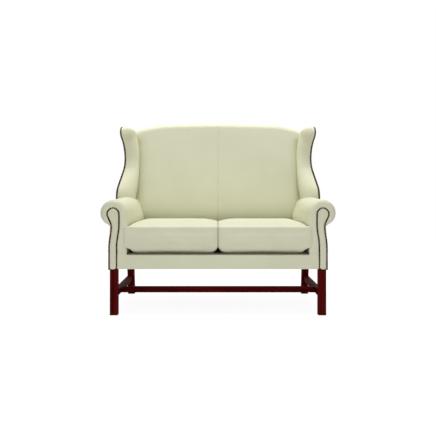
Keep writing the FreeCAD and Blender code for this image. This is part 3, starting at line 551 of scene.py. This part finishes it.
wall_all_y = np.concatenate([front_y + valley * (1.0 - smooth(lip_x - wall_nails, 0.0, 0.004)), wall_bend_y,
                             wall_run_y], 1)
wall = np.stack([wall_all_x, wall_all_y, np.repeat(wall_levels, wall_all_x.shape[1], 1)], -1)
wall_run_share = np.clip((wall[..., 1] - front_y) / (rear(0.4) - front_y), 0.0, 1.0)
inside_wall = np.sin(np.pi * (wall_levels - hem_z) / (wall_top_z - hem_z)) * np.sin(np.pi * wall_run_share)
wall[..., 0] += (wall_puff * np.clip(inside_wall, 0.0, 1.0) ** 0.7
                 + ripple(wall, 0.2, 0.0006, 5) * inside_wall)

for side, sign, flip in sides:
    arm_piece = cover("arm_leather_" + side, arm * flip, sign * across * 0.4 + up, cream)
    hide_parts("arm_pad_" + side)
    facing_piece = cover("arm_facing_leather_" + side, facing * flip, -along, cream, thick=0.003)
    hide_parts("arm_front_panel_" + side)
    wall_piece = cover("arm_outside_leather_" + side, wall * flip, sign * across, cream, thick=0.004)
    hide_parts("arm_outside_panel_" + side)


# Wings. Each wing is one stuffed pad, sewn to the inside back along a crease and pulled over the wing
# board to its outer edge, which sweeps down in an S. A flat hide closes the outside.
wing_flare, wing_rear_x = 0.14, 0.5735
wing_foot_z, shoulder_z, wing_end_z, wing_top_z = 0.600, 0.990, 1.0745, 1.0815
hollow_y, hollow_z = 0.1865, 0.871
low_radius, high_radius, tip_radius = 0.052, 0.185, 0.029
knee_radius, knee_y = 0.080, 0.0015
waist_z, waist_reach = 0.852, 0.050
line_way = np.arctan(0.88)
face_lean, face_foot_y, face_foot_z = 0.158, 0.1625, 0.490
crown_z, crown_tuck = 1.06, 0.014
crease_limit = 0.5605
back_line_top, panel_puff = 1.062, 0.0022
station_count, pad_columns = 240, 46


def face(level):
    """Y of the inside back's face, which leans back with height."""
    return face_foot_y + face_lean * (level - face_foot_z)


def wing_x(y):
    """X of the wing's outer side, which flares forwards."""
    return wing_rear_x + wing_flare * (rear_y - y)


def blurred(values, reach):
    """Values along a line, each averaged with its neighbours, so that its corners round off."""
    weight = np.hanning(2 * reach + 1)
    longer = np.concatenate([2 * values[0] - values[reach:0:-1], values,
                             2 * values[-1] - values[-2:-reach - 2:-1]])
    return np.convolve(longer, weight / weight.sum(), "valid")


# The board's outline in Y and Z: foot, knee, straight rise, hollow of two radii, ear, and back over the top
low_centre = np.array([hollow_y - low_radius, hollow_z])
high_centre = np.array([hollow_y - high_radius, hollow_z])
tip_z = wing_top_z - tip_radius
tip_turn = np.arcsin((tip_z - hollow_z) / (high_radius + tip_radius))
tip = high_centre + (high_radius + tip_radius) * np.array([np.cos(tip_turn), np.sin(tip_turn)])
low_arc = round_about(low_centre, low_radius, line_way - np.pi / 2, 0.0, 60)
line_out = np.array([np.sin(line_way), -np.cos(line_way)])
knee_x = knee_y + knee_radius
knee_z = low_arc[0, 1] - ((low_arc[0, 0] - knee_x) * line_out[0] + knee_radius) / np.cos(line_way)
knee = round_about((knee_x, knee_z), knee_radius, np.pi, np.pi / 2 + line_way, 30)
wing_outline = np.concatenate([
    [[knee_y, wing_foot_z]], knee, low_arc, round_about(high_centre, high_radius, 0.0, tip_turn, 60)[1:],
    round_about(tip, tip_radius, tip_turn + np.pi, np.pi / 2, 40)[1:],
    [[rear(wing_end_z) - 0.004, wing_end_z]],
])
outline = even(wing_outline, station_count)
outline[1:-1] = np.stack([blurred(values, 9) for values in outline.T], -1)[1:-1]
softer = np.stack([blurred(values, 24) for values in outline.T], -1)
outline += (softer - outline) * np.exp(-(((outline[:, 1:] - waist_z) / waist_reach) ** 2))
out_y, out_z = outline.T
heading = unit(np.gradient(outline, axis=0))
off_y, off_z = -heading[:, 1], heading[:, 0]
over_top = np.clip((out_y - tip[0]) / (out_y[-1] - tip[0]), 0.0, 1.0) * (out_z > tip_z)
top_start = int(np.argmax(over_top > 0))
shoulder = int(np.argmax(out_z > shoulder_z))

# The crease beside the inside back: it rises with the outline to the shoulder, then follows the top
stations = np.arange(station_count)
crease_z = np.interp(stations, [0, shoulder, top_start, station_count - 1], [0.585, 1.030, 1.065, 1.070])
crease_z[:shoulder] = out_z[:shoulder] - 0.010 + 0.050 * smooth(out_z[:shoulder], 0.80, shoulder_z)
crease_z = blurred(crease_z, 12)
inner_x = np.interp(crease_z, [0.60, 0.65, 0.71, 0.79, 0.94, 1.00, 1.05, 1.08],
                    [0.538, 0.532, 0.5235, 0.517, 0.5165, 0.524, 0.541, 0.550])
inner_x = blurred(inner_x, 12)
on_top = blurred((over_top > 0).astype(float), 12)
near_top = smooth(out_z, 0.92, wing_top_z) * (1.0 - 0.6 * over_top**2)
crease_x = np.minimum(inner_x + 0.010 + 0.014 * on_top, crease_limit)
over_crown = face(crown_z) + crown_tuck + (out_y[-1] - face(crown_z) - crown_tuck) * over_top
crease_y = blurred(np.where(over_top > 0, over_crown, face(crease_z) + 0.030), 8)

# Five rails along the pad, from its outer edge to the crease, which shape the curve across it. The fourth
# makes the curve pass through inner_x three quarters of the way across, by the rails' weights there.
outer_rail = np.stack([wing_x(out_y), out_y, out_z], -1)
crease_rail = np.stack([crease_x, crease_y, crease_z], -1)
outward = np.stack([np.zeros(station_count), off_y, off_z], -1)
inward = (outer_rail - crease_rail) * [1.0, 0.0, 0.0]
across_pad = (crease_rail - outer_rail) * [0.0, 1.0, 1.0]
pad_depth = np.linalg.norm(across_pad, axis=1)
lead_out = outer_rail - across * 0.012 + outward * (0.0035 + 0.008 * near_top)[:, None]
crest = outer_rail - 0.32 * inward + 0.02 * across_pad + outward * (0.006 + 0.021 * near_top)[:, None]
roll_depth = (0.044 + 0.20 * pad_depth) * (1.0 - on_top)
roll_in = crease_rail - along * roll_depth[:, None] + up * (0.028 * near_top)[:, None]
roll_in_x = inner_x - 0.316 * crease_x - 0.21 * crest[:, 0] - 0.047 * lead_out[:, 0]
roll_in_x = (roll_in_x - 0.005 * outer_rail[:, 0]) / 0.422
roll_in[:, 0] = roll_in_x + (crease_x + 0.012 - roll_in_x) * on_top


def across_rails(rails, count):
    """Points at equal shares of the way across five rails, on curves of the fourth degree."""
    t = shares(count)[None, :, None]
    a, b, c, d, e = (rail[:, None] for rail in rails)
    return ((1 - t) ** 4 * a + 4 * (1 - t) ** 3 * t * b + 6 * (1 - t) ** 2 * t**2 * c
            + 4 * (1 - t) * t**3 * d + t**4 * e)


wing = across_rails((outer_rail, lead_out, crest, roll_in, crease_rail), pad_columns)
settled = np.sin(np.pi * shares(pad_columns))[None, :]
wing += normals_of(wing) * (ripple(wing, 0.16, 0.0010, 11) * settled)[..., None]

# The outside hide: straight across from the outline to the back's edge, a little full in the middle
back_line_z = np.interp(stations, [0, top_start, station_count - 1], [wing_foot_z, back_line_top, out_z[-1]])
back_line = np.stack([rear(back_line_z) - 0.005, back_line_z], -1)
panel_share = shares(40)[None, :, None]
panel_plan = outline[:, None] + (back_line - outline)[:, None] * panel_share
wing_panel = np.stack([wing_x(panel_plan[..., 0]), panel_plan[..., 0], panel_plan[..., 1]], -1)
fullness = np.sin(np.pi * panel_share[..., 0]) ** 0.6 * smooth(1.0 - over_top, 0.0, 0.6)[:, None]
wing_panel[..., 0] += panel_puff * fullness

for side, sign, flip in sides:
    wing_piece = cover("wing_leather_" + side, wing * flip, -sign * across - along, cream)
    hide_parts("wing_pad_" + side)
    panel_piece = cover("wing_outside_leather_" + side, wing_panel * flip, sign * across, cream, thick=0.003)
    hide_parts("wing_outside_panel_" + side)


# Inside back. Two halves of hide joined by one upright seam, over deep stuffing that rolls back across the
# top rail. Its sides curl away into the creases beside the wings.
back_half = 0.5725
back_foot_z = seam_z + 0.006
arc_drop, arc_reach = 0.0055, 0.30
fall_start, fall_blend, fall_slope = 0.390, 0.020, 0.200
crown_radius, rear_radius = 0.038, 0.012
tuck_depth = 0.045
seam_groove, groove_width = 0.0020, 0.0026
pillow, pillow_width = 0.0055, 0.53
curl_depth, curl_start, curl_reach = 0.034, 0.448, 0.085
low_tuck, low_tuck_z, low_tuck_reach = 0.035, 0.700, 0.21
lean_angle = np.arctan(face_lean)


def top_line(x):
    """Z of the back's top edge: a shallow arc, falling away more steeply towards the wings."""
    past = np.abs(x) - fall_start
    fall = fall_slope * (np.sqrt(past**2 + fall_blend**2) + past) / 2
    return crest_z - arc_drop * (x / arc_reach) ** 2 - fall


# Its section from the foot up: the face, the crown, the level top, the rear edge, and down to the tacks
back_x = np.union1d(np.linspace(-back_half, back_half, 151), np.linspace(-0.012, 0.012, 19))[:, None]
edge_z = top_line(back_x)
curl_z = edge_z - crown_radius * (1.0 - np.sin(lean_angle))
climb = shares(80)[None, :-1]
climb_z = back_foot_z + (curl_z - back_foot_z) * climb
over = np.linspace(lean_angle, np.pi / 2, 14)[None, :]
crown_y = face(curl_z) + crown_radius * np.cos(lean_angle)
over_y = crown_y - crown_radius * np.cos(over)
over_z = edge_z - crown_radius * (1.0 - np.sin(over))
level_end = rear(edge_z) - rear_radius
level = shares(12)[None, 1:-1]
level_y = crown_y + (level_end - crown_y) * level
down = np.linspace(0.0, np.pi / 2, 8)[None, :]
down_y = level_end + rear_radius * np.sin(down)
down_z = edge_z - rear_radius * (1.0 - np.cos(down))
drop = shares(6)[None, 1:]
drop_z = edge_z - rear_radius - (tuck_depth + 0.004 - rear_radius) * drop
drop_y = rear(drop_z)
back_y = np.concatenate([face(climb_z), over_y, level_y, down_y, drop_y], 1)
back_z = np.concatenate([climb_z, over_z, np.repeat(edge_z, level.shape[1], 1), down_z, drop_z], 1)
back = np.stack([np.repeat(back_x, back_y.shape[1], 1), back_y, back_z], -1)

# The face curls away at its sides, tucks in behind the cushions, and swells on both sides of the seam
sideways = np.clip((np.abs(back_x) - curl_start) / curl_reach, 0.0, 1.0)
fade = 1.0 - smooth(back[..., 1], crown_y - 0.03, crown_y)
curl_away = curl_depth * sideways**2.2 * (1.0 - 0.8 * smooth(back[..., 2], 0.98, 1.045))
back[..., 1] += curl_away * (1.0 - smooth(back[..., 1], crown_y - 0.03, crown_y + 0.055))
back[..., 1] += low_tuck * np.clip((low_tuck_z - back[..., 2]) / low_tuck_reach, 0.0, 1.0) ** 2 * fade
height_share = np.clip((back[..., 2] - back_foot_z) / (edge_z - back_foot_z), 0.0, 1.0)
halves = np.abs(np.sin(np.pi * back_x / pillow_width)) ** 0.8
back[..., 1] -= pillow * halves * np.sin(np.pi * height_share) * fade
groove = seam_groove * np.exp(-((back_x / groove_width) ** 2))
back[..., 1] += groove * fade
back[..., 2] -= groove * (1.0 - fade)
back[..., 1] += ripple(back, 0.22, 0.0010, 21) * fade * smooth(np.abs(back_x), 0.0, 0.06)
back_piece = cover("inside_back_leather", back, -along, cream)
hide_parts("inside_back_pad")


# Outside back. One flat hide over the back frame, tacked under the hem and blind sewn up both sides, where
# it follows the wings and the ends of the scrolls.
neck_low_z, neck_high_z = 0.492, 0.4925
split_z, high_guess_z = 0.650, 1.030
plate_columns = 91
plate_sew_in = 0.0022


def back_edge(level):
    """Half the width of the outside back: the body, in at the neck, out round the scroll, then the wing."""
    body = body_half + (neck_x - body_half) * smooth(level, neck_start_z, neck_low_z)
    rise = np.clip((level - roll_z) / roll_radius, -1.0, 1.0)
    scroll = roll_x + roll_radius * np.sqrt(1.0 - rise**2)
    scroll = np.where((level > neck_high_z) & (level < roll_z + roll_radius), scroll, 0.0)
    wing_edge = np.where(level > roll_z, wing_x(rear(level)), 0.0)
    return np.maximum(np.where(level < roll_z, np.maximum(body, scroll), scroll), wing_edge)


# Rows at one level up to the split, close together at the neck, and above it rows that fan out to the arch
low_levels = np.concatenate([np.linspace(hem_z, 0.486, 30), np.linspace(0.489, 0.500, 8),
                             np.linspace(0.504, split_z, 40)])
high_share = shares(42)[1:]
plate_u = np.linspace(-1.0, 1.0, plate_columns)[None, :]
low_x = back_edge(low_levels)[:, None] * plate_u
low_z = np.repeat(low_levels[:, None], plate_columns, 1)
high_guess = split_z + (high_guess_z - split_z) * high_share
high_x = back_edge(high_guess)[:, None] * plate_u
high_z = split_z + (top_line(high_x) - tuck_depth - split_z) * high_share[:, None]
plate_x, plate_z = np.concatenate([low_x, high_x]), np.concatenate([low_z, high_z])
plate = np.stack([plate_x, rear(plate_z), plate_z], -1)
plate[..., 1] -= plate_sew_in * np.abs(plate_u) ** 12
plate_piece = cover("outside_back_leather", plate, along, cream, thick=0.004)
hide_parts("outside_back_panel")


# Brass nails. Domed heads in antique brass, hammered edge to edge round each arm's facing and up the outer
# edge of each wing. Each is set a little differently, as nails driven by hand are.
arm_nail_radius, wing_nail_radius = 0.0058, 0.0066
arm_nail_pitch, wing_nail_pitch = 0.0108, 0.0124
nail_rise, nail_sink = 0.0029, 0.0006
nail_sides = 10
wing_nail_in, wing_nails_foot = 0.0062, 0.612


def antique_brass(name):
    """Dark bronzed metal, rubbed brighter in patches, with a slightly beaten surface."""
    finish, tree, shader, place = blank_finish(name)
    patch = noise(tree, place, 160.0, 3.0)
    colour = ramp(tree, patch, [(0.36, (0.012, 0.005, 0.003)), (0.62, (0.085, 0.028, 0.014))])
    feed(tree, shader, {"Base Color": colour, "Roughness": from_to(tree, patch, 0.58, 0.40), "Metallic": 1.0,
                        "Normal": relief(tree, patch, 0.0004, 0.4), "Specular Tint": (0.16, 0.08, 0.05, 1.0)})
    return finish


def nail_row(name, places, ways, radius, finish, seed):
    """A domed head at each place, looking its own way: three rings that rise to a top, closed below."""
    chance = np.random.default_rng(seed)
    count = len(places)
    ways = unit(ways + chance.normal(scale=0.045, size=ways.shape))
    first = unit(np.cross(ways, across + 0.3 * up))
    second = np.cross(ways, first)
    spin = np.linspace(0.0, 2.0 * np.pi, nail_sides, endpoint=False)
    climb_angle = np.radians([0.0, 32.0, 62.0])
    ring_out = radius * np.cos(climb_angle)
    ring_up = nail_rise * np.sin(climb_angle) - nail_sink
    size = chance.uniform(0.96, 1.03, size=(count, 1, 1, 1))
    round_way = (first[:, None, None] * np.cos(spin)[None, None, :, None]
                 + second[:, None, None] * np.sin(spin)[None, None, :, None])
    rings = places[:, None, None] + size * (round_way * ring_out[None, :, None, None]
                                            + ways[:, None, None] * ring_up[None, :, None, None])
    tops = places + ways * (nail_rise - nail_sink)
    points = np.concatenate([rings.reshape(count, -1, 3), tops[:, None]], 1)
    base = np.arange(nail_sides)
    after = (base + 1) % nail_sides
    bands = [np.stack([base + k * nail_sides, after + k * nail_sides, after + (k + 1) * nail_sides,
                       base + (k + 1) * nail_sides], -1) for k in (0, 1)]
    peak = 3 * nail_sides
    step = (np.arange(count) * (peak + 1))[:, None, None]
    squares = (np.concatenate(bands)[None] + step).reshape(-1, 4).tolist()
    cap = np.stack([base + 2 * nail_sides, after + 2 * nail_sides, np.full(nail_sides, peak)], -1)
    caps = (cap[None] + step).reshape(-1, 3).tolist()
    bottoms = (base[::-1][None] + step[:, 0]).tolist()
    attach(piece_of(name, mesh_of(name, points, squares + caps + bottoms), finish), "settee")


def spaced(line, pitch):
    """The same line with its points about one pitch apart."""
    length = np.linalg.norm(np.diff(line[:, :3], axis=0), axis=1).sum()
    return even(line, int(round(length / pitch)) + 1)


# Round each facing: up the outer side of the stem, over the head, down its inner side and along the hem
brass = antique_brass("antique_brass")
hem_row_z = hem_z + 0.0018
rising = np.linspace(hem_row_z, outer_waist_z, 60)
falling = np.linspace(head_z, hem_row_z, 60)
facing_loop = np.concatenate([
    np.stack([stem_outer(rising), rising], -1), throat[::-1][1:],
    round_about(head, head_radius, head_leave, np.pi, 80)[1:],
    np.stack([stem_inner(falling), falling], -1)[1:], [[stem_outer(hem_row_z), hem_row_z]],
])
arm_nails = spaced(facing_loop, arm_nail_pitch)[:-1]
arm_places = np.stack([arm_nails[:, 0], np.full(len(arm_nails), front_y + 0.0004), arm_nails[:, 1]], -1)
arm_ways = np.tile(-along, (len(arm_nails), 1))

# Up each wing: just inside the outline, looking out from the pad and turned to the front
edge_way = unit(lead_out - outer_rail)
nail_centres = outer_rail + edge_way * wing_nail_in
nail_ways = outward - edge_way * np.sum(outward * edge_way, axis=1, keepdims=True) - 0.8 * along
nailed = slice(int(np.argmax(out_z > wing_nails_foot)), top_start + 2)
row = spaced(np.concatenate([nail_centres, nail_ways], 1)[nailed], wing_nail_pitch)
for side, sign, flip in sides:
    nail_row("arm_nails_" + side, arm_places * flip, arm_ways * flip, arm_nail_radius, brass, 31)
    nail_row("wing_nails_" + side, row[:, :3] * flip, row[:, 3:] * flip, wing_nail_radius, brass, 32)


# Seat cushions. Loose box cushions of soft filling round a foam block, drawn in a little along their sides,
# crowned on top and rounded underneath. Their front corners spread over the arms' rounded edges.
_, cushion_front, cushion_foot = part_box("seat_cushion_cover_right")[0]
cushion_back = 0.1612
cushion_x = (0.0012, arm_inner - 0.0022)
cushion_edge, cushion_crown = 0.4905, 0.0265
crown_flatness, side_share, crest_skew = 2.3, 0.50, 0.06
plan_squareness = 34
side_draw = 0.0035
lower_depth, lower_inset, base_middle, top_middle = 0.047, 0.027, 0.22, 0.235
corner_flare, back_squeeze, front_lift, meeting = 0.034, 0.022, 0.016, 0.0085
foam_inset, foam_height_share = 0.026, 0.72
swell, settle_share, settle_most = 0.0030, 0.6, 0.0060
voxel, settle_frames = 0.0055, 20


def cushion_form(shrink, rings=(16, 26, 30), steps=240):
    """Rings round a box cushion from the middle of its base to the middle of its crown. Each ring is a
    rounded rectangle, inset below by a quarter of an ellipse, and above it follows the crown."""
    base_inset = np.linspace(base_middle, lower_inset, rings[0])
    low_turn = np.linspace(0.0, np.pi / 2, 14)
    wall_z = np.linspace(cushion_foot + lower_depth, cushion_edge - 0.003, rings[1])
    top_inset = shares(rings[2]) ** 1.6 * top_middle + 0.003
    inset = np.concatenate([base_inset, lower_inset * (1.0 - np.sin(low_turn))[1:], np.zeros(rings[1] - 1),
                            [0.0012], top_inset])
    level = np.concatenate([np.full(rings[0], cushion_foot),
                            cushion_foot + lower_depth * (1.0 - np.cos(low_turn))[1:], wall_z[1:],
                            [cushion_edge - 0.0012], np.full(rings[2], cushion_edge)])
    half = np.array([cushion_x[1] - cushion_x[0], cushion_back - cushion_front]) / 2 - shrink
    middle = np.array([sum(cushion_x) / 2, (cushion_front + cushion_back) / 2])
    angle = np.linspace(0.0, 2.0 * np.pi, steps, endpoint=False)
    way = np.stack([np.cos(angle), np.sin(angle)], -1)
    corner = 1.0 / np.sum(np.abs(way) ** plan_squareness, -1) ** (1 / plan_squareness)
    rim = way * corner[:, None]
    plan = middle + rim[None] * (half[None, None] - inset[:, None, None])
    square = rim[None] * np.ones((len(inset), 1, 1)) * ((half - inset[:, None, None]) / half)
    drawn = side_draw * (1.0 - np.abs(square) ** 2.0)
    plan[..., 0] -= np.sign(rim[None, :, 0]) * drawn[..., 1] * np.abs(square[..., 0]) ** 8 * 0.6
    plan[..., 1] -= np.sign(rim[None, :, 1]) * drawn[..., 0] * np.abs(square[..., 1]) ** 8 * 0.5
    z = np.repeat(level[:, None], steps, 1)
    deep = square[..., 1] - crest_skew
    deep = np.abs(np.where(deep < 0, deep / (1 + crest_skew), deep / (1 - crest_skew)))
    rise_y = 1.0 - np.clip(deep, 0, 1) ** crown_flatness
    rise_x = 1.0 - np.abs(square[..., 0]) ** 7
    crowned = smooth(level, cushion_edge - 0.03, cushion_edge)[:, None]
    z = z + crowned * (cushion_crown - shrink * 0.5) * rise_y * (side_share + (1.0 - side_share) * rise_x)
    z = z - shrink * smooth(level, cushion_foot, cushion_edge)[:, None] * 0.3
    return np.concatenate([plan, z[..., None]], -1)


def closed_mesh(name, rings):
    """Rings joined one to the next, and closed at both ends by a fan from the ring's middle."""
    levels, steps = rings.shape[:2]
    corner = np.arange(levels * steps).reshape(levels, steps)
    after = np.roll(corner, -1, axis=1)
    squares = np.stack([corner[:-1], after[:-1], after[1:], corner[1:]], -1).reshape(-1, 4)
    ends = rings[[0, -1]].mean(axis=1)
    low, high = levels * steps, levels * steps + 1
    fans = np.concatenate([np.stack([after[0], corner[0], np.full(steps, low)], -1),
                           np.stack([corner[-1], after[-1], np.full(steps, high)], -1)])
    return mesh_of(name, np.concatenate([rings.reshape(-1, 3), ends]), squares.tolist() + fans.tolist())


def points_of(mesh):
    """A mesh's points as an array."""
    flat = np.zeros(len(mesh.vertices) * 3, np.float32)
    mesh.vertices.foreach_get("co", flat)
    return flat.reshape(-1, 3).astype(float)


def stuffed(name, mesh):
    """The mesh remeshed evenly and blown up by cloth pressure, with a share of the move kept, to a limit."""
    piece = put_in(name, mesh)
    bpy.context.view_layer.objects.active = piece
    remesh = piece.modifiers.new("even", "REMESH")
    remesh.mode = "VOXEL"
    remesh.voxel_size = voxel
    bpy.ops.object.modifier_apply(modifier=remesh.name)
    start = points_of(piece.data)
    cloth = piece.modifiers.new("cloth", "CLOTH")
    cloth.settings.use_pressure = True
    cloth.settings.uniform_pressure_force = 4.0
    cloth.settings.quality = 5
    cloth.settings.mass = 0.3
    cloth.settings.tension_stiffness = 25.0
    cloth.settings.bending_stiffness = 8.0
    cloth.settings.effector_weights.gravity = 0.0
    for number in range(1, settle_frames + 1):
        scene.frame_set(number)
    bpy.ops.object.modifier_apply(modifier=cloth.name)
    scene.frame_set(1)
    moved = points_of(piece.data) - start
    far = np.linalg.norm(moved, axis=1, keepdims=True)
    moved *= settle_share * np.minimum(1.0, settle_most / np.maximum(far, 1e-9))
    piece.data.vertices.foreach_set("co", (start + moved).astype(np.float32).ravel())
    mesh = piece.data
    bpy.data.objects.remove(piece)
    return mesh


def dressed(points, sign):
    """The cushion's points with its front corner spread, its inner side flat where it meets the other, its
    rear corner narrowed, and the faint fold that its front shows."""
    x, y, z = points.T
    x = np.maximum(x - meeting * (1.0 - smooth(x, 0.0, 0.060)), 0.0006)
    near_front = 1.0 - smooth(y, front_y - 0.005, front_y + 0.024)
    outer = smooth(x, 0.420, 0.490)
    flare = corner_flare * near_front * outer * smooth(z, 0.342, 0.368)
    x = x + flare * (1.0 - 0.10 * smooth(z, 0.482, cushion_edge))
    x = x - back_squeeze * smooth(x, 0.40, 0.49) * smooth(y, front_y + 0.06, 0.16) * smooth(z, 0.450, 0.500)
    z = z + front_lift * (1.0 - smooth(y, front_y - 0.01, front_y + 0.07)) * (1.0 - smooth(z, 0.345, 0.40))

    # The fold: a faint hollow with a ridge above it, low at both ends
    on_front = 1.0 - smooth(y, cushion_front + 0.004, cushion_front + 0.012)
    middle_x, fold_z = (0.27, 0.452) if sign < 0 else (0.36, 0.455)
    reach = np.exp(-(((x - middle_x) / 0.075) ** 2))
    slope = fold_z - (x - middle_x) ** 2
    fold = np.exp(-(((z - slope) / 0.0045) ** 2)) - 0.6 * np.exp(-(((z - slope - 0.009) / 0.006) ** 2))
    y = y + 0.0007 * fold * reach * on_front
    return np.stack([x, y, z], -1)


# One blank serves both covers. The foam inside is the same form, smaller and lower, with the base raised.
closed = stuffed("cushion_blank", closed_mesh("cushion_blank", cushion_form(swell)))
foam_finish = woven_cloth("wadded_foam", (0.66, 0.63, 0.54), (0.74, 0.72, 0.64), 25.0)
foam_rings = cushion_form(foam_inset, (6, 10, 10), 96)
foam_rings[..., 2] = cushion_foot + foam_inset + (foam_rings[..., 2] - cushion_foot) * foam_height_share
for side, sign, flip in sides:
    body = "seat_cushion_" + side
    mesh = closed.copy()
    mesh.name = "seat_cushion_leather_" + side
    placed = dressed(points_of(mesh), sign) * flip
    uneven = ripple(placed, 0.10, 0.0007, 41 + sign)[:, None] * np.array([0.0, 0.3, 1.0])
    placed += uneven * smooth(placed[:, 2:], 0.46, 0.50)
    mesh.vertices.foreach_set("co", placed.astype(np.float32).ravel())
    if sign < 0:
        mesh.flip_normals()
    cushion = piece_of(mesh.name, mesh, cream)
    finer = cushion.modifiers.new("finer", "SUBSURF")
    finer.levels = finer.render_levels = 1
    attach(cushion, body)
    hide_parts("seat_cushion_cover_" + side)
    foam_mesh = closed_mesh("seat_cushion_foam_" + side, foam_rings * flip)
    if sign < 0:
        foam_mesh.flip_normals()
    foam = piece_of(foam_mesh.name, foam_mesh, foam_finish)
    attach(foam, body)
    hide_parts("seat_cushion_core_" + side)
